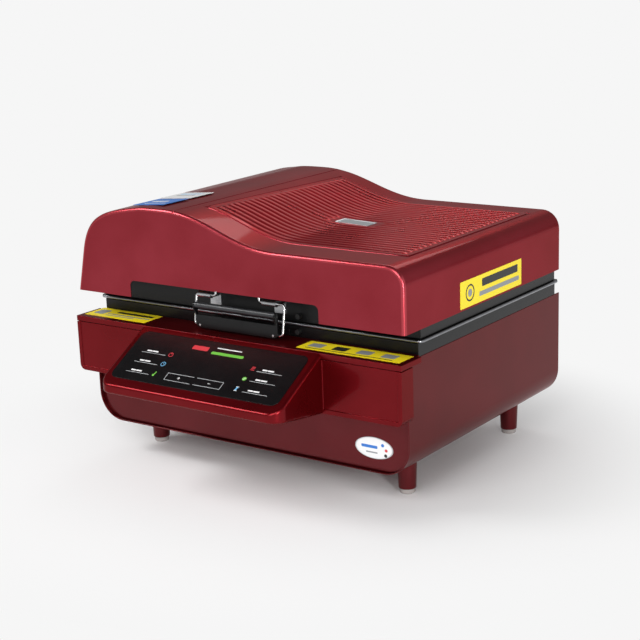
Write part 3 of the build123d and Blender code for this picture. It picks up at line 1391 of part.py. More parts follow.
def make_panel_screws():
    """Screw heads that hold the rear panel to the wrap's return tabs."""
    heads = []
    for x in (-WRAP_INNER + 14, 0, WRAP_INNER - 14):
        for z in (WRAP_TOP_Z - 14, BODY_BOTTOM_Z + WRAP_CORNER_RADIUS + 18):
            if x != 0 or z > BODY_BOTTOM_Z + WRAP_HEIGHT / 2:
                heads.append(rod("Y", (x, REAR_PANEL_Y + 1.2, z), 4, 2.4))
    return group(heads)


def make_wrap_tabs():
    """Upright angles inside the wrap that the front and rear panels are fixed to."""
    tabs = []
    low = BODY_BOTTOM_Z + WRAP_CORNER_RADIUS + 4
    high = BODY_BOTTOM_Z + FRONT_PANEL_RISE - 6
    for side in (-1, 1):
        for y in (FRONT_PANEL_Y + SHEET, FAN_REAR_Y - 16):
            x_web = sorted((side * WRAP_INNER, side * (WRAP_INNER - SHEET)))
            x_flange = sorted((side * WRAP_INNER, side * (WRAP_INNER - 20)))
            web = block(x_web, (y, y + 16), (low, high))
            flange_y = (y, y + SHEET) if y < 0 else (y + 16 - SHEET, y + 16)
            tabs.append(web + block(x_flange, flange_y, (low, high)))
    return group(tabs)


save("lid_cover", make_lid_cover())
save("ribbed_panel", make_ribbed_panel())
save("top_plate", make_plain_plate())
save("heater_box", make_heater_box())
save("insulation_pad", heater_layer(REFLECTOR_Z + REFLECTOR_THICKNESS, HEATER_TOP_Z - HEATER_WALL, FIT_GAP))
save("heat_reflector", heater_layer(REFLECTOR_Z, REFLECTOR_Z + REFLECTOR_THICKNESS, 0))
save("heater_guard", make_guard())
save("guard_angles", make_guard_angles())
save("heating_tubes", make_heating_tubes())
save("tube_holders", make_tube_holders())
save("circulation_motor", make_fan_motor())
save("circulation_rotor", make_circulation_rotor())
save("cover_posts", make_cover_posts())
save("thermocouple", make_thermocouple())
save("frame_lower", make_frame_lower())
save("membrane", make_membrane())
save("frame_upper", make_frame_upper())
save("frame_screws", group(frame_screws(FRAME_SCREW_RADIUS, FRAME_BOTTOM_Z, FRAME_TOP_Z)))
save("hinge_brackets", make_hinge_brackets())
save("hinge_pins", make_hinge_pins())
save("lid_hinge_arms", make_lid_hinge_arms())
save("base_wrap", make_base_wrap())
save("front_panel", make_front_panel())
save("rear_panel", make_rear_panel())
save("wrap_tabs", make_wrap_tabs())
save("panel_screws", make_panel_screws())
save("fascia", make_fascia())
save("ledge", make_ledge())
save("console_housing", make_console_housing())
save("touch_film", make_touch_film())
save("control_board", make_control_board())
save("vacuum_box", make_vacuum_box())
save("box_gasket", make_gasket())
save("perforated_bed", make_perforated_bed())
save("bed_feet", make_bed_feet())
save("bail_wires", make_bail_wires())
save("bail_barrels", make_bail_barrels())
save("latch_handle", make_latch_handle())
save("grip_bar", make_grip_bar())
save("handle_rivets", make_handle_rivets())
save("catch_bracket", make_catch_bracket())
save("lid_sensor", make_lid_sensor())
save("sensor_magnet", make_sensor_magnet())
save("legs", make_legs())
save("foot_pads", make_foot_pads())
save("fan_frame", make_fan_frame())
save("fan_rotor", make_fan_rotor())
save("fan_guard", make_fan_guard())
save("mains_inlet", make_mains_inlet())
save("switch_bezel", make_switch_bezel())
save("switch_rocker", make_switch_rocker())
save("pump_base", make_pump_base())
save("pump_mounts", make_pump_mounts())
save("pump_motor", make_pump_motor())
save("pump_head", make_pump_head())
save("pump_rotor", make_pump_rotor())
save("release_valve", make_release_valve())
save("vacuum_hose", make_vacuum_hose())
save("power_board", make_power_board())
save("transformer", make_transformer())

# The footprint runs from the console's front to the hinge knuckles.
FOOTPRINT_REAR_Y = HINGE_Y + KNUCKLE_RADIUS
ORIGIN_SHIFT_Y = -(CONSOLE_FRONT_Y + FOOTPRINT_REAR_Y) / 2

for name, shape in nodes.items():
    placed = [Pos(0, ORIGIN_SHIFT_Y, 0) * solid for solid in shape.solids()]
    export_step(Compound(placed), f"parts/{name}.step")

print("nodes", len(nodes), "origin shift", round(ORIGIN_SHIFT_Y, 3))
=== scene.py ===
import functools
import math

import bmesh
import bpy
from mathutils import Matrix, Vector, geometry


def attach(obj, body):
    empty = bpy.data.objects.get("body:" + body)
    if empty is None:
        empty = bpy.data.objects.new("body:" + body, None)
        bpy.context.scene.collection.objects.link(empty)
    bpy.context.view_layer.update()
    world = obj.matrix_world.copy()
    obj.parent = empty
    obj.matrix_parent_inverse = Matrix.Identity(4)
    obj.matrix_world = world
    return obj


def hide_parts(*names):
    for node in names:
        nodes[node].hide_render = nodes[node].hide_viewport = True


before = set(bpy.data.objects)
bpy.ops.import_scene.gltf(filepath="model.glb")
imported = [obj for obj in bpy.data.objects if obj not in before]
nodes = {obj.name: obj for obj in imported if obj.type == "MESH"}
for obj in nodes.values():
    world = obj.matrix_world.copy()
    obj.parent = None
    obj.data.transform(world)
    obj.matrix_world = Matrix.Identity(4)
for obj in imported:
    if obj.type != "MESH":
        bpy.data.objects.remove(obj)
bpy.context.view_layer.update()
print("frame loaded:", len(nodes), "nodes")

rearShift = 50.55  # mm, the drawing's zero lies this far behind the origin
weld = 1e-6  # m, points nearer to each other than this are one


def at(x, y, z):  # a place given in mm on the drawing
    return Vector((x, y + rearShift, z)) / 1000


# Materials

def linear(hexColour):
    text = hexColour.lstrip("#")
    values = [int(text[i:i + 2], 16) / 255 for i in (0, 2, 4)]
    return [v / 12.92 if v <= 0.04045 else ((v + 0.055) / 1.055) ** 2.4 for v in values] + [1.0]


def addNode(tree, kind, inputs=None, **settings):
    node = tree.nodes.new(kind)
    for name, value in settings.items():
        setattr(node, name, value)
    for name, value in (inputs or {}).items():
        if isinstance(value, bpy.types.NodeSocket):
            tree.links.new(value, node.inputs[name])
        else:
            node.inputs[name].default_value = value
    return node


def newMaterial(name, **inputs):
    material = bpy.data.materials.new(name)
    material.use_nodes = True
    tree = material.node_tree
    tree.nodes.clear()
    shader = addNode(tree, "ShaderNodeBsdfPrincipled", {k.replace("_", " "): v for k, v in inputs.items()})
    addNode(tree, "ShaderNodeOutputMaterial", {"Surface": shader.outputs["BSDF"]})
    place = addNode(tree, "ShaderNodeTexCoord").outputs["Object"]
    return material, tree, shader, place


def perMm(size):  # scale of a pattern whose features are this many mm across
    return 1000 / size


def blotches(tree, place, size, detail=2.0, roughness=0.5):  # size in mm
    return addNode(tree, "ShaderNodeTexNoise", {
        "Vector": place, "Scale": perMm(size), "Detail": detail, "Roughness": roughness,
    }).outputs["Fac"]


def ramp(tree, factor, lowColour, highColour, low=0.3, high=0.7):
    node = addNode(tree, "ShaderNodeValToRGB", {"Fac": factor})
    node.color_ramp.elements[0].position = low
    node.color_ramp.elements[0].color = linear(lowColour)
    node.color_ramp.elements[1].position = high
    node.color_ramp.elements[1].color = linear(highColour)
    return node.outputs["Color"]


def spread(tree, factor, low, high):  # turns 0..1 into a narrow band of values
    node = addNode(tree, "ShaderNodeMapRange", {"Value": factor, "To Min": low, "To Max": high})
    return node.outputs["Result"]


def bump(tree, height, strength, depth):  # depth in mm
    inputs = {"Height": height, "Strength": strength, "Distance": depth / 1000}
    return addNode(tree, "ShaderNodeBump", inputs).outputs["Normal"]


enamel = {
    "flake": 0.9,  # mm; the real flake is 0.05 mm across, drawn coarse so that it shows
    "flakeShare": 0.22, "flakeShade": "#c8c0c0", "reflection": "#c07a78", "cloud": 90, "uneven": 0.03,
    "peel": 5, "peelStrength": 0.05, "peelDepth": 0.25,  # faint orange peel of sprayed enamel
}


def candyEnamel(name, dark, light, roughness=0.34, coat=0.17):
    # candy enamel: fine aluminium flake under a tinted coat and a clear coat, so it glows and glints
    material, tree, shader, place = newMaterial(
        name, Metallic=0.8, Specular_IOR_Level=0.3, Specular_Tint=linear(enamel["reflection"]),
        Coat_Weight=coat, Coat_Roughness=0.06, Coat_IOR=1.4)
    flake = addNode(tree, "ShaderNodeTexVoronoi", {"Vector": place, "Scale": perMm(enamel["flake"])})
    cloud = blotches(tree, place, enamel["cloud"], detail=3.0)
    tint = ramp(tree, cloud, dark, light)
    glint = ramp(tree, flake.outputs["Distance"], "#ffffff", enamel["flakeShade"], low=0.05, high=0.75)
    mixed = addNode(
        tree, "ShaderNodeMix", {"Factor": enamel["flakeShare"]}, data_type="RGBA", blend_type="MULTIPLY")
    tree.links.new(tint, mixed.inputs[6])
    tree.links.new(glint, mixed.inputs[7])
    tree.links.new(mixed.outputs[2], shader.inputs["Base Color"])
    sheen = spread(tree, cloud, roughness - enamel["uneven"], roughness + enamel["uneven"])
    tree.links.new(sheen, shader.inputs["Roughness"])
    skin = blotches(tree, place, enamel["peel"], detail=1.0)
    tree.links.new(bump(tree, skin, enamel["peelStrength"], enamel["peelDepth"]), shader.inputs["Normal"])
    return material


def powderCoat(name, dark, light, roughness=0.3):
    # black polyester powder coat: fine pebbled skin with a soft sheen
    material, tree, shader, place = newMaterial(name, Specular_IOR_Level=0.25)
    grain = blotches(tree, place, size=1.6)
    tint = ramp(tree, blotches(tree, place, size=40, detail=3.0), dark, light)
    tree.links.new(tint, shader.inputs["Base Color"])
    tree.links.new(spread(tree, grain, roughness - 0.06, roughness + 0.08), shader.inputs["Roughness"])
    tree.links.new(bump(tree, grain, strength=0.18, depth=0.2), shader.inputs["Normal"])
    return material


def brushedMetal(name, dark, light, roughness, stretch=(1, 14, 14), size=2.0, strength=0.08):
    # rolled or brushed sheet: grain drawn out along one direction
    material, tree, shader, place = newMaterial(name, Metallic=1.0)
    drawn = addNode(tree, "ShaderNodeMapping", {"Vector": place, "Scale": stretch}).outputs["Vector"]
    grain = blotches(tree, drawn, size * 8, detail=4.0, roughness=0.6)
    tree.links.new(ramp(tree, grain, dark, light), shader.inputs["Base Color"])
    tree.links.new(spread(tree, grain, roughness - 0.07, roughness + 0.1), shader.inputs["Roughness"])
    tree.links.new(bump(tree, grain, strength, depth=0.1), shader.inputs["Normal"])
    return material


def spangledZinc(name, crystalSize=8):
    # hot-dip galvanised sheet: grey zinc crystals, their size in mm
    material, tree, shader, place = newMaterial(name, Metallic=0.9)
    crystal = addNode(tree, "ShaderNodeTexVoronoi", {"Vector": place, "Scale": perMm(crystalSize)})
    shade = addNode(tree, "ShaderNodeSeparateColor", {"Color": crystal.outputs["Color"]}).outputs["Red"]
    tree.links.new(ramp(tree, shade, "#8c8f92", "#b4b7ba", low=0.0, high=1.0), shader.inputs["Base Color"])
    tree.links.new(spread(tree, shade, 0.34, 0.5), shader.inputs["Roughness"])
    return material


def castMetal(name, dark, light, roughness=0.45):
    # sand or die casting: slightly grainy skin
    material, tree, shader, place = newMaterial(name, Metallic=0.95)
    grain = blotches(tree, place, size=1.4, detail=3.0, roughness=0.6)
    tree.links.new(ramp(tree, blotches(tree, place, size=14), dark, light), shader.inputs["Base Color"])
    tree.links.new(spread(tree, grain, roughness - 0.08, roughness + 0.1), shader.inputs["Roughness"])
    tree.links.new(bump(tree, grain, strength=0.3, depth=0.25), shader.inputs["Normal"])
    return material


def mouldedPlastic(name, dark, light, roughness, grainSize=0.9, strength=0.15, shine=0.5):
    # injection-moulded plastic: even colour with a spark-eroded grain
    material, tree, shader, place = newMaterial(name, IOR=1.5, Specular_IOR_Level=shine)
    grain = blotches(tree, place, grainSize)
    tree.links.new(ramp(tree, blotches(tree, place, size=30), dark, light), shader.inputs["Base Color"])
    tree.links.new(spread(tree, grain, roughness - 0.04, roughness + 0.08), shader.inputs["Roughness"])
    tree.links.new(bump(tree, grain, strength, depth=0.12), shader.inputs["Normal"])
    return material


def printedInk(name, colour, roughness=0.45, variation=0.04):
    # screen-printed ink or vinyl: flat colour with a slightly uneven lay-down
    material, tree, shader, place = newMaterial(name, IOR=1.48)
    base = linear(colour)
    darker = [max(c * (1 - variation * 2), 0) for c in base[:3]] + [1.0]
    node = addNode(tree, "ShaderNodeValToRGB", {"Fac": blotches(tree, place, size=4)})
    node.color_ramp.elements[0].color = darker
    node.color_ramp.elements[1].color = base
    tree.links.new(node.outputs["Color"], shader.inputs["Base Color"])
    sheen = spread(tree, blotches(tree, place, size=2, detail=1.0), roughness - 0.05, roughness + 0.05)
    tree.links.new(sheen, shader.inputs["Roughness"])
    return material


paint = candyEnamel("candyRedEnamel", "#86252e", "#922f39")
# the ribbed panel's enamel is a lighter red than the lid's, painted light for the light its ribs reflect; it
# is also glossier
ribPaintedLight = candyEnamel("candyRedEnamelPanelPaintedLight", "#9a2c34", "#a63640", roughness=0.28, coat=0.2)
# the coat flows together over the lid's rim, where it is thicker and glossier; the rim's lighter red is a
# painted highlight
rimPaintedHighlight = candyEnamel("candyRedEnamelRimPaintedHighlight", "#a4363e", "#ae404a", roughness=0.3, coat=0.4)
# the fascia, ledge and console enamel is darker than the lid's: painted shade for the darker surroundings
# these faces reflect
fasciaPaintedShade = candyEnamel("candyRedEnamelFasciaPaintedShade", "#6a0d13", "#75131a", roughness=0.28, coat=0.18)
# the base's enamel, on its panels and legs, is darker than the lid's: painted shade for the lower body under
# the fascia's overhang
bodyPaintedShade = candyEnamel("candyRedEnamelBodyPaintedShade", "#5c171b", "#661d22", roughness=0.3, coat=0.42)
blackCoat = powderCoat("blackPowderCoat", "#070708", "#0c0c0d")
wireSteel = brushedMetal(
    "brightZincWire", "#c4c4c6", "#e2e2e3", 0.24, stretch=(8, 8, 1), size=1.0, strength=0.0)
stainless = brushedMetal("brushedStainless", "#a9aaac", "#c6c7c9", 0.3)
zincSheet = spangledZinc("galvanisedSheet")
# grey satin steel on the black frame's rolled edge: a painted highlight along that edge
beadPaintedHighlight = brushedMetal("satinSteelPaintedHighlight", "#84868a", "#989a9e", 0.3, stretch=(1, 1, 1), strength=0.0)
castAluminium = castMetal("dieCastAluminium", "#8f9193", "#b1b3b5")
hammered = castMetal("greyHammeredEnamel", "#54585c", "#6b7074", roughness=0.5)
blackPlastic = mouldedPlastic("blackAbs", "#0e0e0f", "#161617", 0.48)
gripPlastic = mouldedPlastic("darkSatinPolyamide", "#1d1e20", "#27282b", 0.38)
blackRubber = mouldedPlastic("blackNitrileRubber", "#101010", "#191919", 0.75, grainSize=1.5, strength=0.3)
palePad = mouldedPlastic("paleThermoplasticRubber", "#8f8885", "#a39c99", 0.5, grainSize=1.2, strength=0.2)
paleHose = mouldedPlastic("siliconeHose", "#c9c9c4", "#dcdcd8", 0.35, grainSize=2.0, strength=0.05)
boardGreen = mouldedPlastic("solderMaskedBoard", "#0f3a22", "#14492b", 0.35, grainSize=1.2, strength=0.1)
ceramicWool = mouldedPlastic("ceramicFibreBlanket", "#d8d4c8", "#ece9df", 0.9, grainSize=1.5, strength=0.8)
filmBlack = mouldedPlastic(
    "polyesterTouchFilm", "#0d0c0d", "#121112", 0.2, grainSize=6.0, strength=0.02, shine=0.22)
yellowVinyl = printedInk("yellowVinyl", "#f6df1a")
blueVinyl = printedInk("blueVinyl", "#2f72c4")
whiteInk = printedInk("whiteInk", "#e4e4e4")
greyInk = printedInk("greyInk", "#8b8f92")
paleInk = printedInk("paleGreyInk", "#b9bcbe")
blackInk = printedInk("blackInk", "#1c1c1c")
redInk = printedInk("redInk", "#c62f38")
greenInk = printedInk("greenInk", "#68b43c")
skyInk = printedInk("skyBlueInk", "#6fb2dc")
silverFoil = brushedMetal(
    "silverFoil", "#b8babc", "#d4d6d8", 0.35, stretch=(1, 6, 6), size=1.0, strength=0.02)


def siliconeMaterial():
    # translucent high-temperature silicone sheet, faintly cloudy
    material, tree, shader, place = newMaterial(
        "siliconeMembrane", IOR=1.41, Transmission_Weight=0.25, Subsurface_Weight=0.1)
    tint = ramp(tree, blotches(tree, place, size=60, detail=3.0), "#a8624a", "#b97157")
    tree.links.new(tint, shader.inputs["Base Color"])
    tree.links.new(spread(tree, blotches(tree, place, size=3), 0.36, 0.5), shader.inputs["Roughness"])
    return material


def quartzMaterial():
    # frosted quartz envelope of an infrared tube
    material, tree, shader, place = newMaterial("frostedQuartz", IOR=1.46, Transmission_Weight=0.35)
    tint = ramp(tree, blotches(tree, place, size=10), "#d9d5ca", "#ebe8de")
    tree.links.new(tint, shader.inputs["Base Color"])
    tree.links.new(spread(tree, blotches(tree, place, size=2), 0.32, 0.46), shader.inputs["Roughness"])
    return material


silicone = siliconeMaterial()
quartz = quartzMaterial()
print("materials made")


# Building helpers

def finishPiece(name, bm, materials, body, replaced=(), smoothAngle=35):
    bmesh.ops.recalc_face_normals(bm, faces=bm.faces)
    mesh = bpy.data.meshes.new(name)
    bm.to_mesh(mesh)
    bm.free()
    for face in mesh.polygons:
        face.use_smooth = True
    mesh.set_sharp_from_angle(angle=math.radians(smoothAngle))
    piece = bpy.data.objects.new(name, mesh)
    bpy.context.scene.collection.objects.link(piece)
    for material in materials:
        mesh.materials.append(material)
    weighted = piece.modifiers.new("evenShading", "WEIGHTED_NORMAL")
    weighted.keep_sharp = True
    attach(piece, body)
    if replaced:
        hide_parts(*replaced)
    return piece


def sharpEdges(bm, angle):
    limit = math.radians(angle)
    return [e for e in bm.edges if len(e.link_faces) == 2 and e.calc_face_angle(0) > limit]


def refined(node, name, material, body, width, segments, angle=40, flatAngle=0.5):  # width in mm
    bm = bmesh.new()
    bm.from_mesh(nodes[node].data)
    bmesh.ops.remove_doubles(bm, verts=bm.verts, dist=weld)
    bmesh.ops.dissolve_limit(bm, angle_limit=math.radians(flatAngle), verts=bm.verts, edges=bm.edges)
    bmesh.ops.bevel(
        bm, geom=sharpEdges(bm, angle), offset=width / 1000, offset_type="OFFSET", affect="EDGES",
        segments=segments, profile=0.5, clamp_overlap=True, material=-1)
    bmesh.ops.remove_doubles(bm, verts=bm.verts, dist=weld)
    return finishPiece(name, bm, [material], body, [node])


def raised(small, low, high):  # gives a flat outline its thickness, mm
    bmesh.ops.translate(small, vec=(0, 0, low), verts=small.verts)
    region = bmesh.ops.extrude_face_region(small, geom=list(small.faces), use_keep_orig=True)
    top = [v for v in region["geom"] if isinstance(v, bmesh.types.BMVert)]
    bmesh.ops.translate(small, vec=(0, 0, high - low), verts=top)
    return small


def sizedBar(width, height, radius, low, high, segments=4):  # rounded plate lying flat, mm
    small = bmesh.new()
    bmesh.ops.create_grid(small, x_segments=1, y_segments=1, size=0.5)
    bmesh.ops.scale(small, vec=(width, height, 1), verts=small.verts)
    if radius > 0:
        bmesh.ops.bevel(
            small, geom=list(small.verts), offset=radius, offset_type="OFFSET", affect="VERTICES",
            segments=segments, profile=0.5, material=-1)
    return raised(small, low, high)


def bar(width, height, radius=0.0):  # a shape waits for its lowest and highest level
    return lambda low, high: sizedBar(width, height, radius, low, high)


def disc(radius, segments=24):
    def shape(low, high):
        small = bmesh.new()
        bmesh.ops.create_circle(small, cap_ends=True, segments=segments, radius=radius)
        return raised(small, low, high)
    return shape


def ring(outer, inner, segments=28):
    def shape(low, high):
        small = bmesh.new()
        bmesh.ops.create_circle(small, cap_ends=False, segments=segments, radius=outer)
        inside = bmesh.ops.extrude_edge_only(small, edges=list(small.edges))
        verts = [v for v in inside["geom"] if isinstance(v, bmesh.types.BMVert)]
        bmesh.ops.scale(small, vec=(inner / outer, inner / outer, 1), verts=verts)
        return raised(small, low, high)
    return shape


def stamp(target, small, place, material=0, shift=(0, 0), turn=0.0):
    # sets a shape drawn in mm down on a surface, turned in degrees
    local = Matrix.Translation((shift[0], shift[1], 0)) @ Matrix.Rotation(math.radians(turn), 4, "Z")
    for face in small.faces:
        face.material_index = material
    bmesh.ops.transform(small, matrix=place @ Matrix.Scale(0.001, 4) @ local, verts=small.verts)
    mesh = bpy.data.meshes.new("stamp")
    small.to_mesh(mesh)
    small.free()
    target.from_mesh(mesh)
    bpy.data.meshes.remove(mesh)


def surfacePlace(origin, right, up):  # matrix of a flat surface: X to its right, Y up along it, Z out of it
    right = Vector(right).normalized()
    up = Vector(up).normalized()
    out = right.cross(up)
    matrix = Matrix((right, up, out)).transposed().to_4x4()
    matrix.translation = at(*origin)
    return matrix


# Lid: S-shaped cover with a ribbed panel

lid = {
    "left": -310, "right": 310, "front": -238.5, "rear": 238.5, "bottom": 276,
    "shoulder": (-295, 343), "brow": (-263, 396), "crown": (-186, 418), "crest": (-125, 421),
    "valley": (89, 373),
    # from each of these to the next: turn and reach at the start, turn and reach at the end, points
    "curves": [
        (77.4, 24.1, 33.2, 21.0, 12), (33.2, 27.2, 8.4, 16.8, 12), (8.4, 15.9, 0, 42.7, 10),
        (0, 87.7, 0, 87.7, 40)],
    "browSkew": -14, "crestSkew": -28, "crestFall": -4.5, "seamSkew": -19,  # moved by this much at the rear
    "cornerRadius": 30, "cornerSteps": 8, "flatSteps": 8, "rowSteps": 8,
    "wall": 2.0, "edgeRadius": 5.5, "edgeSegments": 6, "weld": 2e-5,
    "notchLeft": -197, "notchRight": 164, "notchTop": 303, "notchRadius": 9, "notchSteps": 6,
    "seamX": -101, "seamHalf": 1.3, "seamDepth": 2.6,
    "panelLeft": -86, "panelRight": 276, "panelFront": -172, "panelRear": 192,
    "gutter": 2.0, "gutterHalf": 1.7,
}
gutter = {
    "left": lid["panelLeft"] - lid["gutter"], "right": lid["panelRight"] + lid["gutter"],
    "front": lid["panelFront"] - lid["gutter"], "rear": lid["panelRear"] + lid["gutter"],
}


def curveRun(start, end, startTurn, startReach, endTurn, endReach, count):
    startWay = Vector((math.cos(math.radians(startTurn)), math.sin(math.radians(startTurn))))
    endWay = Vector((math.cos(math.radians(endTurn)), math.sin(math.radians(endTurn))))
    return geometry.interpolate_bezier(
        start, start + startWay * startReach, end - endWay * endReach, end, count)


def lidCurve(lean):  # the section's points from the bottom left over the crest to the bottom right
    crestMove = Vector((lid["crestSkew"], lid["crestFall"])) * lean
    brow = Vector(lid["brow"]) + Vector((lid["browSkew"], 0)) * lean
    crown = Vector(lid["crown"]) + crestMove
    crest = Vector(lid["crest"]) + crestMove
    valley = Vector(lid["valley"]) + Vector((lid["crestSkew"], 0)) * lean
    knots = [Vector(lid["shoulder"]), brow, crown, crest, valley]
    points = [Vector((lid["left"], lid["bottom"])), knots[0]]
    for start, end, curve in zip(knots, knots[1:], lid["curves"]):
        points += curveRun(start, end, *curve)[1:]
    corner = Vector((lid["right"], lid["valley"][1])) - Vector((lid["cornerRadius"], lid["cornerRadius"]))
    flat = corner.x - valley.x
    points += [
        Vector((valley.x + flat * i / lid["flatSteps"], valley.y)) for i in range(1, lid["flatSteps"])]
    for i in range(lid["cornerSteps"] + 1):
        turn = math.radians(90 * (1 - i / lid["cornerSteps"]))
        points.append(corner + Vector((math.cos(turn), math.sin(turn))) * lid["cornerRadius"])
    points.append(Vector((lid["right"], lid["bottom"])))
    return points


lidEnds = (lidCurve(0), lidCurve(1))
browCount = sum(1 for p in lidEnds[0] if p.x <= lid["brow"][0])
cornerStart = lid["right"] - lid["cornerRadius"] - 0.01  # mm, just left of the rounded corner


def leanAt(y):  # 0 at the lid's front, 1 at its rear
    return (y - lid["front"]) / (lid["rear"] - lid["front"])


@functools.lru_cache(maxsize=None)
def lidSection(y):  # the section at a place along the depth, straight between the lid's ends
    return [a.lerp(b, leanAt(y)) for a, b in zip(*lidEnds)]


def lidHeight(x, y):  # height of the lid's top
    points = lidSection(round(y, 2))
    for a, b in zip(points, points[1:]):
        if a.x <= x <= b.x and b.x > a.x:
            return a.y + (b.y - a.y) * (x - a.x) / (b.x - a.x)
    return lid["bottom"]


def lidStations(spacing=1):  # places across the top where the mesh has a line, at the lid's front
    places = [p.x for p in lidEnds[0][browCount:] if p.x < cornerStart]
    grooves = ((lid["seamX"], lid["seamHalf"]), (gutter["left"], lid["gutterHalf"]),
               (gutter["right"], lid["gutterHalf"]))
    for middle, reach in grooves:
        places = [x for x in places if abs(x - middle) > reach + spacing]
        places += [middle - reach, middle, middle + reach]
    return sorted(places)


def lidRows():  # places along the depth where the mesh has a line, behind the lid's front
    reach = lid["gutterHalf"]
    span = gutter["rear"] - gutter["front"]
    rows = [gutter["front"] - reach, gutter["front"], gutter["front"] + reach]
    rows += [gutter["front"] + span * i / lid["rowSteps"] for i in range(1, lid["rowSteps"])]
    return rows + [gutter["rear"] - reach, gutter["rear"], gutter["rear"] + reach, lid["rear"]]


stations = lidStations()
drift = [  # place across the lid's front, and how far it moves towards the rear
    (lid["brow"][0], lid["browSkew"]), (lid["seamX"] - lid["seamHalf"], lid["seamSkew"]),
    (lid["seamX"] + lid["seamHalf"], lid["seamSkew"]), (gutter["left"] - lid["gutterHalf"], 0),
    (lid["right"], 0),
]


def drifted(x, lean):
    for (x0, move0), (x1, move1) in zip(drift, drift[1:]):
        if x0 <= x <= x1:
            return x + lean * (move0 + (move1 - move0) * (x - x0) / (x1 - x0))
    return x


def addLidRow(bm, y):
    points = lidSection(y)
    top = [drifted(x, leanAt(y)) for x in stations]
    row = points[:browCount] + [Vector((x, lidHeight(x, y))) for x in top]
    row += [p for p in points if p.x > cornerStart]
    return [bm.verts.new(at(p.x, y, p.y)) for p in row]


def addLidFront(bm, frontRow):  # front wall with the notch that leaves room for the latch
    radius = lid["notchRadius"]
    notch = [(lid["notchRight"], lid["bottom"])]
    for end, side, start in ((lid["notchRight"], 1, 0), (lid["notchLeft"], -1, 90)):
        centreX = end - side * radius
        centreZ = lid["notchTop"] - radius
        for i in range(lid["notchSteps"] + 1):
            turn = math.radians(start + 90 * i / lid["notchSteps"])
            notch.append((centreX + radius * math.cos(turn), centreZ + radius * math.sin(turn)))
    notch.append((lid["notchLeft"], lid["bottom"]))
    lower = [frontRow[-1]] + [bm.verts.new(at(x, lid["front"], z)) for x, z in notch] + [frontRow[0]]
    for pair in zip(lower, lower[1:]):
        bm.edges.new(pair)
    bm.faces.new(frontRow + lower[1:-1])


def offPlane(v, y):  # m between a point and the upright plane at a place along the depth
    return abs(v.co.y - at(0, y, 0).y)


def sinkGrooves(bm, near=0.1):  # the crest seam and the gutter round the ribbed panel, near in mm
    bm.normal_update()
    depth = lid["seamDepth"] / 1000
    lowest = lid["valley"][1] - 0.5
    for v in bm.verts:
        x = v.co.x * 1000
        y = v.co.y * 1000 - rearShift
        if v.co.z * 1000 < lowest:
            continue
        insideX = gutter["left"] - near < x < gutter["right"] + near
        insideY = gutter["front"] - near < y < gutter["rear"] + near
        onSide = min(abs(x - gutter["left"]), abs(x - gutter["right"])) < near
        onEnd = min(abs(y - gutter["front"]), abs(y - gutter["rear"])) < near
        if (insideX and onEnd) or (insideY and onSide):
            v.co.z -= depth
        elif abs(x - lid["seamX"] - lid["seamSkew"] * leanAt(y)) < near:
            v.co -= v.normal * depth


def makeLid():
    bm = bmesh.new()
    frontRow = row = addLidRow(bm, lid["front"])
    for y in lidRows():
        lastRow, row = row, addLidRow(bm, y)
        for i in range(len(row) - 1):
            bm.faces.new((lastRow[i], lastRow[i + 1], row[i + 1], row[i]))
    addLidFront(bm, frontRow)
    bm.edges.new((row[0], row[-1]))
    rearEdges = [e for e in bm.edges if all(offPlane(v, lid["rear"]) < weld for v in e.verts)]
    bmesh.ops.contextual_create(bm, geom=rearEdges)
    bmesh.ops.recalc_face_normals(bm, faces=bm.faces)
    rim = [
        e for e in sharpEdges(bm, 60)
        if all(min(offPlane(v, lid["front"]), offPlane(v, lid["rear"])) < weld for v in e.verts)
    ]
    bmesh.ops.bevel(
        bm, geom=rim, offset=lid["edgeRadius"] / 1000, offset_type="OFFSET", affect="EDGES",
        segments=lid["edgeSegments"], profile=0.5, clamp_overlap=False, material=1)
    sinkGrooves(bm)
    bmesh.ops.remove_doubles(bm, verts=bm.verts, dist=lid["weld"])
    piece = finishPiece("lidShell", bm, [paint, rimPaintedHighlight], "lid", ["lid_cover"], smoothAngle=40)
    wall = piece.modifiers.new("sheet", "SOLIDIFY")
    wall.thickness = lid["wall"] / 1000
    wall.offset = -1
    piece.modifiers.move(1, 0)


makeLid()

ribs = {
    "count": 26, "pitch": 13.5, "width": 10.6, "height": 1.65, "endMargin": 8, "endTaper": 9, "fullness": 0.8,
    "skin": 0.8, "cornerRadius": 10, "edgeDrop": 1.4, "alongSteps": 96, "acrossSteps": 432,
    "bareX": (30, 114), "bareY": (-23, 25),  # left smooth for the badge
}


def roundedCorner(x, y, box, radius):  # pulls a point of a rectangle in to its rounded corner
    left, right, front, rear = box
    cx = min(max(x, left + radius), right - radius)
    cy = min(max(y, front + radius), rear - radius)
    away = Vector((x - cx, y - cy))
    if away.x and away.y and away.length > radius:
        away = away.normalized() * radius
    return cx + away.x, cy + away.y


def ribRise(x, y):
    first = (lid["panelFront"] + lid["panelRear"] - (ribs["count"] - 1) * ribs["pitch"]) / 2
    index = min(max(round((y - first) / ribs["pitch"]), 0), ribs["count"] - 1)
    off = abs(y - first - index * ribs["pitch"]) / (ribs["width"] / 2)
    if off >= 1:
        return 0.0
    ends = min(x - lid["panelLeft"], lid["panelRight"] - x) - ribs["endMargin"]
    rowY = first + index * ribs["pitch"]
    if ribs["bareY"][0] < rowY < ribs["bareY"][1]:
        ends = min(ends, max(ribs["bareX"][0] - x, x - ribs["bareX"][1]))
    fade = min(max(ends / ribs["endTaper"], 0), 1)
    return ribs["height"] * math.sqrt(1 - (1 - fade) ** 2) * math.cos(off * math.pi / 2) ** ribs["fullness"]


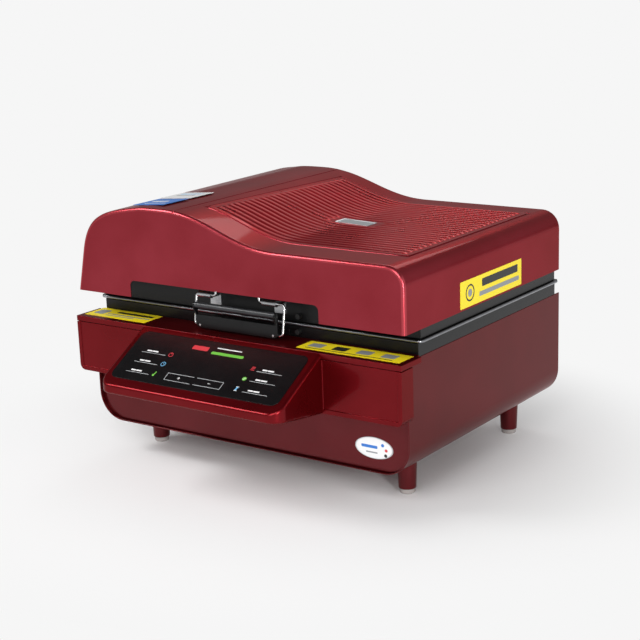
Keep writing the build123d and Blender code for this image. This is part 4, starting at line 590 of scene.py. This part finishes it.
def makeRibbedPanel():
    bm = bmesh.new()
    bmesh.ops.create_grid(bm, x_segments=ribs["alongSteps"], y_segments=ribs["acrossSteps"], size=0.5)
    width = lid["panelRight"] - lid["panelLeft"]
    depth = lid["panelRear"] - lid["panelFront"]
    outline = (lid["panelLeft"], lid["panelRight"], lid["panelFront"], lid["panelRear"])
    for v in bm.verts:
        x = lid["panelLeft"] + (v.co.x + 0.5) * width
        y = lid["panelFront"] + (v.co.y + 0.5) * depth
        x, y = roundedCorner(x, y, outline, ribs["cornerRadius"])
        v.co = at(x, y, lidHeight(x, y) + ribs["skin"] + ribRise(x, y))
    border = [e for e in bm.edges if e.is_boundary]
    skirt = bmesh.ops.extrude_edge_only(bm, edges=border)["geom"]
    low = [v for v in skirt if isinstance(v, bmesh.types.BMVert)]
    bmesh.ops.translate(bm, vec=(0, 0, -ribs["edgeDrop"] / 1000), verts=low)
    bmesh.ops.remove_doubles(bm, verts=bm.verts, dist=weld)
    finishPiece("ribbedPanel", bm, [ribPaintedLight], "lid", ["ribbed_panel"], smoothAngle=60)


makeRibbedPanel()

badge = {
    "x": 72, "y": 0, "length": 62, "width": 30, "rise": 2.4, "sunk": 0.4, "radius": 3, "cornerSegments": 5,
    "frame": 2.2, "recess": 0.9, "edge": 0.3, "margin": 0.5,
}


def makeBadge():
    bm = bmesh.new()
    half = badge["length"] / 2
    left, right = (lidHeight(badge["x"] + side, badge["y"]) for side in (-half, half))
    turn = math.atan2(right - left, badge["length"])
    seat = lidHeight(badge["x"], badge["y"]) + ribs["skin"] - badge["sunk"]
    place = surfacePlace((badge["x"], badge["y"], seat), (math.cos(turn), 0, math.sin(turn)), (0, 1, 0))
    plate = sizedBar(
        badge["length"], badge["width"], badge["radius"], 0, badge["rise"], badge["cornerSegments"])
    upper = [f for f in plate.faces if f.normal.z > 0.9 and f.calc_center_median().z > badge["rise"] / 2]
    bmesh.ops.inset_region(plate, faces=upper, thickness=badge["frame"], depth=0)
    inner = list({v for f in upper if f.is_valid for v in f.verts})
    bmesh.ops.translate(plate, vec=(0, 0, -badge["recess"]), verts=inner)
    stamp(bm, plate, place)
    bmesh.ops.bevel(
        bm, geom=sharpEdges(bm, 60), offset=badge["edge"] / 1000, affect="EDGES", segments=2, profile=0.5,
        material=-1)
    rim = badge["frame"] + badge["margin"]
    for face in bm.faces:
        local = place.inverted() @ face.calc_center_median()
        flat = abs(local.x) * 1000 < half - rim and abs(local.y) * 1000 < badge["width"] / 2 - rim
        face.material_index = 1 if flat and local.z > 0 else 0
    finishPiece("badgePlate", bm, [silverFoil, greyInk], "lid", ["top_plate"])


makeBadge()
print("lid made")

# Sheet-metal and moulded pieces whose edges are rounded over

dressed = [  # node, piece, finish, body, slot, edge width in mm, segments
    ("front_panel", "lowerFrontPanel", bodyPaintedShade, "base", "body_paint", 0.5, 2),
    ("base_wrap", "wrapShell", bodyPaintedShade, "base", "body_paint", 0.8, 2),
    ("rear_panel", "rearPanel", bodyPaintedShade, "base", "body_paint", 0.4, 1),
    ("fascia", "fasciaCover", fasciaPaintedShade, "base", "fascia_paint", 2.0, 4),
    ("ledge", "ledgeDeck", fasciaPaintedShade, "base", "fascia_paint", 1.4, 3),
    ("console_housing", "consoleHousing", fasciaPaintedShade, "base", "fascia_paint", 0.5, 2),
    ("touch_film", "touchFilm", filmBlack, "base", "film_black", 0.25, 2),
    ("vacuum_box", "vacuumBox", blackCoat, "base", "black_enamel", 1.0, 2),
    ("heater_box", "heaterBox", blackCoat, "lid", "black_enamel", 1.2, 3),
    ("frame_upper", "frameUpper", blackCoat, "membrane_frame", "black_enamel", 1.4, 4),
    ("frame_lower", "frameLower", blackCoat, "membrane_frame", "black_enamel", 1.4, 4),
    ("catch_bracket", "catchArms", blackCoat, "base", "black_enamel", 0.5, 2),
    ("hinge_brackets", "hingeBrackets", blackCoat, "base", "black_enamel", 0.6, 2),
    ("lid_hinge_arms", "lidHingeArms", blackCoat, "lid", "black_enamel", 0.6, 2),
    ("latch_handle", "latchHandle", blackCoat, "handle", "black_enamel", 0.5, 2),
    ("fan_frame", "fanFrame", blackPlastic, "base", "black_plastic", 0.6, 2),
    ("mains_inlet", "mainsInlet", blackPlastic, "base", "black_plastic", 0.5, 2),
    ("switch_bezel", "switchBezel", blackPlastic, "base", "black_plastic", 0.5, 2),
    ("switch_rocker", "switchRocker", blackPlastic, "rocker", "black_plastic", 0.4, 2),
    ("pump_head", "pumpHead", castAluminium, "base", "cast_aluminium", 1.0, 2),
    ("legs", "taperedLegs", bodyPaintedShade, "base", "body_paint", 1.0, 2),
    ("foot_pads", "footPads", palePad, "base", "pale_rubber", 0.8, 2),
]
for node, name, material, body, slotName, width, segments in dressed:
    piece = refined(node, name, material, body, width, segments)
    print(name, len(piece.data.polygons), "faces")

keptFinish = {  # nodes shown with the mesh they have
    "wrap_tabs": zincSheet, "panel_screws": wireSteel, "control_board": boardGreen, "box_gasket": blackRubber,
    "perforated_bed": stainless, "bed_feet": castAluminium, "hinge_pins": wireSteel,
    "lid_sensor": blackPlastic, "fan_guard": wireSteel, "pump_base": zincSheet, "pump_mounts": blackRubber,
    "pump_motor": hammered, "pump_rotor": castAluminium, "release_valve": castAluminium,
    "vacuum_hose": paleHose, "power_board": boardGreen, "transformer": zincSheet,
    "insulation_pad": ceramicWool, "heat_reflector": stainless, "heater_guard": stainless,
    "guard_angles": zincSheet, "heating_tubes": quartz, "tube_holders": zincSheet,
    "circulation_motor": zincSheet, "cover_posts": zincSheet, "thermocouple": wireSteel,
    "bail_barrels": stainless, "sensor_magnet": blackPlastic, "membrane": silicone, "frame_screws": wireSteel,
    "bail_wires": wireSteel, "grip_bar": gripPlastic, "handle_rivets": wireSteel, "fan_rotor": blackPlastic,
    "circulation_rotor": zincSheet,
}
for node, material in keptFinish.items():
    data = nodes[node].data
    data.materials.clear()
    data.materials.append(material)
print("sheet metal and finishes made")

# Rolled bead round the membrane frame's edge, in grey steel as a painted highlight on the black edge

bead = {
    "x": 305.6, "front": -190.1, "rear": 239, "z": 255.6, "radius": 2.4, "corner": 7, "sides": 12, "turns": 6,
}


def makeBead():
    bm = bmesh.new()
    loops = []
    corners = ((1, bead["rear"], -1, 0), (-1, bead["rear"], -1, 90), (-1, bead["front"], 1, 180),
               (1, bead["front"], 1, 270))
    for side, end, inwards, start in corners:
        centreX = side * (bead["x"] - bead["corner"])
        centreY = end + inwards * bead["corner"]
        for i in range(bead["turns"] + 1):
            turn = math.radians(start + 90 * i / bead["turns"])
            out = Vector((math.cos(turn), math.sin(turn)))
            section = surfacePlace(
                (centreX + bead["corner"] * out.x, centreY + bead["corner"] * out.y, bead["z"]),
                (out.x, out.y, 0), (0, 0, 1))
            circle = bmesh.ops.create_circle(
                bm, cap_ends=False, segments=bead["sides"], radius=bead["radius"] / 1000, matrix=section)
            loops.append({e for v in circle["verts"] for e in v.link_edges})
    for loop, following in zip(loops, loops[1:] + loops[:1]):
        bmesh.ops.bridge_loops(bm, edges=list(loop | following))
    finishPiece("frameBead", bm, [beadPaintedHighlight], "membrane_frame")


makeBead()

# Touch film: lines and symbols on each side, two keys between them and plain bars at the head

film = {
    "slope": 30, "topY": -248.6, "topZ": 235, "thickness": 0.8, "ink": (0.02, 0.14),
    "lines": [  # left end, right end and place along the depth: three on the left, three on the right
        (-130.4, -83.4, -293.5), (-130.4, -84.9, -311.7), (-132, -87, -330),
        (91, 136, -294.3), (91, 136, -311.7), (91, 136, -330.5)],
    "lineWidth": 0.7,
    # plain bars where a word would stand: middle and length as shares of the line, height, radius and rise
    "wordBars": [(-0.22, 0.2), (0.02, 0.24)], "barHeight": 2.6, "barRadius": 0.6, "barRise": 4.2,
    "keys": {
        "left": -54, "middle": -1.5, "right": 51, "gap": 3, "rear": -321.5, "front": -333.5, "line": 0.7},
}
white, pale, red, sky, green = range(5)  # the print's inks
symbols = [  # place, then its shapes: shape, ink, shift, turn in degrees, extra height
    ((-74.3, -290.9), [(ring(4.3, 3.3), red, (0, 0), 0, 0), (bar(1.0, 3.4, 0.4), red, (0, 2.6), 0, 0.03)]),
    ((-75.2, -308.5), [  # clock
        (ring(4.4, 3.5), sky, (0, 0), 0, 0), (bar(0.8, 3.0, 0.3), sky, (0, 1.2), 0, 0),
        (bar(2.4, 0.8, 0.3), sky, (1.0, 0), 0, 0)]),
    ((-77.6, -326.9), [  # thermometer
        (bar(1.9, 8.0, 0.9), green, (0.6, 0.8), -14, 0), (disc(2.1), green, (-0.6, -3.0), 0, 0.03)]),
    ((82.3, -290.3), [  # heater
        (bar(1.1, 5.4, 0.5), red, (-2.1, 0.6), -10, 0), (bar(1.1, 5.4, 0.5), red, (0, 0.6), -10, 0),
        (bar(1.1, 5.4, 0.5), red, (2.1, 0.6), -10, 0), (bar(7.0, 1.0, 0.4), red, (0, -3.6), 0, 0)]),
    ((79.9, -309.5), [(disc(3.6), green, (0, 0), 0, 0), (bar(5.6, 0.7, 0.3), white, (0, 0), 40, 0.05)]),
    ((78.5, -327.4), [  # hourglass
        (disc(2.8, 3), sky, (0, -2.0), 90, 0), (disc(2.8, 3), sky, (0, 2.0), -90, 0),
        (bar(5.4, 0.9, 0.3), white, (0, -3.8), 0, 0.03), (bar(5.4, 0.9, 0.3), white, (0, 3.8), 0, 0.03)]),
]
# plus and minus: shape, place and extra height
keySigns = [(bar(4.6, 0.9), -29.8, 0), (bar(0.9, 4.6), -29.8, 0.02), (bar(4.6, 0.9), 27.6, 0)]
headBars = [(bar(30, 8.5, 1.6), red, (-31, -271.5)), (bar(60, 5.2, 1.4), green, (23, -276)),
            (bar(46, 1.8, 0.6), white, (21, -267))]
slope = math.radians(film["slope"])
filmEdge = (
    0, film["topY"] - film["thickness"] * math.sin(slope), film["topZ"] + film["thickness"] * math.cos(slope))
filmPlace = surfacePlace(filmEdge, (1, 0, 0), (0, math.cos(slope), math.sin(slope)))


def down(y):  # distance along the film's slope from its upper edge
    return (y - film["topY"]) / math.cos(slope)


def printMark(bm, shape, ink, spot, turn=0, lift=0):
    low, high = film["ink"]
    stamp(bm, shape(low, high + lift), filmPlace, ink, spot, turn)


def makeFilmPrint():
    bm = bmesh.new()
    for start, end, y in film["lines"]:
        length = end - start
        middle = (start + end) / 2
        printMark(bm, bar(length, film["lineWidth"]), pale, (middle, down(y)))
        for offset, share in film["wordBars"]:
            word = bar(share * length, film["barHeight"], film["barRadius"])
            printMark(bm, word, white, (middle + offset * length, down(y) + film["barRise"]))
    for (x, y), shapes in symbols:
        for shape, ink, shift, turn, lift in shapes:
            printMark(bm, shape, ink, (x + shift[0], down(y) + shift[1]), turn, lift)
    # key outlines, open at the top and bottom between the two keys
    keys = film["keys"]
    rear, front = down(keys["rear"]), down(keys["front"])
    centre = (rear + front) / 2
    spans = (
        (keys["left"], keys["middle"] - keys["gap"]), (keys["middle"] + keys["gap"], keys["right"]))
    for start, end in spans:
        for y in (rear, front):
            printMark(bm, bar(end - start, keys["line"]), pale, ((start + end) / 2, y))
    for x in (keys["left"], keys["right"]):
        printMark(bm, bar(keys["line"], rear - front), pale, (x, centre))
    for shape, x, lift in keySigns:
        printMark(bm, shape, white, (x, centre), lift=lift)
    for shape, ink, (x, y) in headBars:
        printMark(bm, shape, ink, (x, down(y)))
    finishPiece("filmPrint", bm, [whiteInk, paleInk, redInk, skyInk, greenInk], "base")


makeFilmPrint()

# Plain vinyl stickers

stickers = {"thickness": 0.3, "ink": 0.12, "sunk": 0.05, "radius": 1.5}
lyingFlat = ((1, 0, 0), (0, 1, 0))  # a sticker's right and up
onRightWall = ((0, 1, 0), (0, 0, 1))
onFrontWall = ((1, 0, 0), (0, 0, 1))


def crestPlace(x, y, reach=22):  # lies on the crest, with the slope found over this many mm to each side
    slopeX = (lidHeight(x + reach, y) - lidHeight(x - reach, y)) / (2 * reach)
    slopeY = (lidHeight(x, y + reach) - lidHeight(x, y - reach)) / (2 * reach)
    right = Vector((1, 0, slopeX)).normalized()
    up = Vector((0, 1, slopeY))
    return surfacePlace((x, y, lidHeight(x, y)), right, up - right * up.dot(right))


def makeSticker(name, place, size, vinyl, inks, marks, body):
    bm = bmesh.new()
    top = stickers["thickness"]
    stamp(bm, sizedBar(*size, stickers["radius"], 0, top), place)
    for shape, spot, ink in marks:
        stamp(bm, shape(top - stickers["sunk"], top + stickers["ink"]), place, ink, spot)
    finishPiece(name, bm, [vinyl] + inks, body)


makeSticker(
    "ledgeStickerLeft", surfacePlace((-239.5, -213, 235.5), *lyingFlat), (127, 46), yellowVinyl,
    [blackInk, greyInk],
    [(bar(74, 8, 1), (18, 9), 1), (bar(88, 4, 1), (14, -4), 2), (bar(60, 3, 1), (2, -12), 2),
     (bar(20, 24, 2), (-46, 1), 2)],
    "base")
makeSticker(
    "ledgeStickerRight", surfacePlace((210, -218, 235.5), *lyingFlat), (178, 40), yellowVinyl,
    [blackInk, greyInk],
    [(bar(24, 18, 2), (-66, 2), 2), (bar(24, 18, 2), (-24, 2), 1), (bar(24, 18, 2), (18, 2), 2),
     (bar(24, 18, 2), (60, 2), 2), (bar(150, 2.2, 0.8), (-2, -13), 1)],
    "base")
makeSticker(
    "lidSideSticker", surfacePlace((310, 8.5, 299.5), *onRightWall), (189, 41), yellowVinyl,
    [blackInk, greyInk],
    [(bar(112, 12, 1.5), (26, 8), 1), (bar(124, 7, 1.5), (24, -8), 2), (ring(13, 10.5), (-66, 0), 1),
     (disc(6), (-66, 0), 2)],
    "lid")
makeSticker(
    "crestStickerBlue", crestPlace(-172, -182), (64, 62), blueVinyl, [whiteInk],
    [(bar(34, 7, 1), (-4, 4), 1), (bar(44, 3, 1), (0, -14), 1)], "lid")
makeSticker(
    "crestStickerWhite", crestPlace(-174, -116.5), (64, 61), whiteInk, [skyInk, greyInk],
    [(bar(46, 5, 1), (0, 14), 1), (bar(38, 4, 1), (-2, 0), 2)], "lid")

oval = {
    "place": (236, -211, 92), "flatten": 0.5, "segments": 64, "layers": [(33, 0, 0.5), (31, 0.4, 0.7)],
    "ink": (0.65, 0.77),
    "marks": [
        (disc(2.6), (15, 6), 2), (disc(2.4), (21, -1), 3), (disc(2.6), (20, -9), 4),
        (bar(28, 4.5, 1.5), (-8, 1.5), 2), (bar(20, 2.2, 0.8), (-4, -7), 5)],
}


def makeOval():
    bm = bmesh.new()
    place = surfacePlace(oval["place"], *onFrontWall)
    widen = Matrix.Diagonal((1.0, oval["flatten"], 1.0, 1.0))
    for finish, (radius, low, high) in enumerate(oval["layers"]):
        stamp(bm, disc(radius, oval["segments"])(low, high), place @ widen, finish)
    for shape, spot, finish in oval["marks"]:
        stamp(bm, shape(*oval["ink"]), place, finish, spot)
    finishPiece("ovalSticker", bm, [silverFoil, whiteInk, blueVinyl, redInk, blackInk, greyInk], "base")


makeOval()
print("print and stickers made")

# Studio: pale floor, soft light and the camera

studio = {
    "azimuth": 35.53, "elevation": 15.315, "roll": -1.99, "distance": 2.45757, "target": (0, 0, 167.3),
    "focalPixels": 1496.99, "centreX": 322.936, "centreY": 343.642, "picture": 640, "sensor": 36,
    "paper": "#f7f7f7", "farPaper": "#f6f6f6", "paperNear": 0.2, "paperFar": 0.7, "floorHalf": 40,
    "room": [
        (0.0, "#909090"), (0.1, "#989898"), (0.18, "#c0c0c0"), (0.5, "#bcbcbc"), (0.66, "#505052"),
        (0.8, "#262628")],
    "roomStrength": 0.9,
}
lamps = {  # place, aim and size in m, power in W
    "keySoftbox": ((0.6, -2.3, 1.7), (0, 0, 0.25), (1.7, 1.4), 44),
    "edgeStrip": ((2.4, -1.7, 0.6), (0.2, -0.1, 0.3), (0.3, 1.3), 24),
    "lowStrip": ((1.35, -0.98, 0.26), (0.3, -0.2, 0.3), (0.12, 0.5), 6),
    "rimSoftbox": ((-1.25, -1.05, 1.6), (0, 0, 0.3), (0.9, 0.7), 22),
    "rearSoftbox": ((-0.55, 1.76, 1.8), (0, 0, 0.35), (1.4, 0.5), 8),
    "sideFill": ((2.6, 0.9, 1.3), (0, 0, 0.25), (1.4, 1.2), 4),
}


def makeCamera():
    az, el, roll = (math.radians(studio[k]) for k in ("azimuth", "elevation", "roll"))
    back = Vector((math.sin(az) * math.cos(el), -math.cos(az) * math.cos(el), math.sin(el)))
    right = (-back).cross(Vector((0, 0, 1))).normalized()
    up = right.cross(-back)
    rolledRight = right * math.cos(roll) + up * math.sin(roll)
    rolledUp = up * math.cos(roll) - right * math.sin(roll)
    data = bpy.data.cameras.new("camera")
    data.sensor_width = studio["sensor"]
    data.lens = studio["focalPixels"] * studio["sensor"] / studio["picture"]
    data.shift_x = (studio["picture"] / 2 - studio["centreX"]) / studio["picture"]
    data.shift_y = (studio["centreY"] - studio["picture"] / 2) / studio["picture"]
    camera = bpy.data.objects.new("camera", data)
    turn = Matrix((rolledRight, rolledUp, back)).transposed().to_4x4()
    camera.matrix_world = Matrix.Translation(at(*studio["target"]) + back * studio["distance"]) @ turn
    bpy.context.scene.collection.objects.link(camera)
    bpy.context.scene.camera = camera


def makeLamp(name, place, aim, size, power):
    data = bpy.data.lights.new(name, "AREA")
    data.shape = "RECTANGLE"
    data.size, data.size_y = size
    data.energy = power
    lamp = bpy.data.objects.new(name, data)
    turn = (Vector(aim) - Vector(place)).to_track_quat("-Z", "Y").to_matrix().to_4x4()
    lamp.matrix_world = Matrix.Translation(place) @ turn
    bpy.context.scene.collection.objects.link(lamp)


def makeFloor():
    # pale paper sweep: plain paper round the object, evenly bright by itself further out
    material, tree, shader, place = newMaterial("palePaperFloor", Roughness=0.9)
    shader.inputs["Base Color"].default_value = linear(studio["paper"])
    away = addNode(tree, "ShaderNodeVectorMath", {0: place}, operation="LENGTH").outputs["Value"]
    reach = {"Value": away, "From Min": studio["paperNear"], "From Max": studio["paperFar"]}
    far = addNode(tree, "ShaderNodeMapRange", reach, interpolation_type="SMOOTHSTEP").outputs["Result"]
    glow = addNode(tree, "ShaderNodeEmission", {"Color": linear(studio["farPaper"]), "Strength": 1.0})
    sweep = {0: far, 1: shader.outputs["BSDF"], 2: glow.outputs["Emission"]}
    mix = addNode(tree, "ShaderNodeMixShader", sweep)
    output = [n for n in tree.nodes if n.type == "OUTPUT_MATERIAL"][0]
    tree.links.new(mix.outputs["Shader"], output.inputs["Surface"])
    bm = bmesh.new()
    bmesh.ops.create_grid(bm, x_segments=1, y_segments=1, size=studio["floorHalf"])
    mesh = bpy.data.meshes.new("floor")
    bm.to_mesh(mesh)
    bm.free()
    mesh.materials.append(material)
    floor = bpy.data.objects.new("floor", mesh)
    bpy.context.scene.collection.objects.link(floor)


def makeWorld():
    world = bpy.data.worlds.new("studioWorld")
    bpy.context.scene.world = world
    world.use_nodes = True
    tree = world.node_tree
    tree.nodes.clear()
    place = addNode(tree, "ShaderNodeTexCoord").outputs["Generated"]
    height = addNode(tree, "ShaderNodeSeparateXYZ", {"Vector": place}).outputs["Z"]
    room = addNode(tree, "ShaderNodeValToRGB", {"Fac": height})
    room.color_ramp.elements.remove(room.color_ramp.elements[1])
    for i, (level, colour) in enumerate(studio["room"]):
        stop = room.color_ramp.elements[0] if i == 0 else room.color_ramp.elements.new(level)
        stop.position = level
        stop.color = linear(colour)
    background = addNode(tree, "ShaderNodeBackground", {
        "Color": room.outputs["Color"], "Strength": studio["roomStrength"]})
    addNode(tree, "ShaderNodeOutputWorld", {"Surface": background.outputs["Background"]})


makeCamera()
makeFloor()
makeWorld()
for name, (place, aim, size, power) in lamps.items():
    makeLamp(name, place, aim, size, power)
bpy.context.scene.view_settings.view_transform = "Standard"
print("studio made")
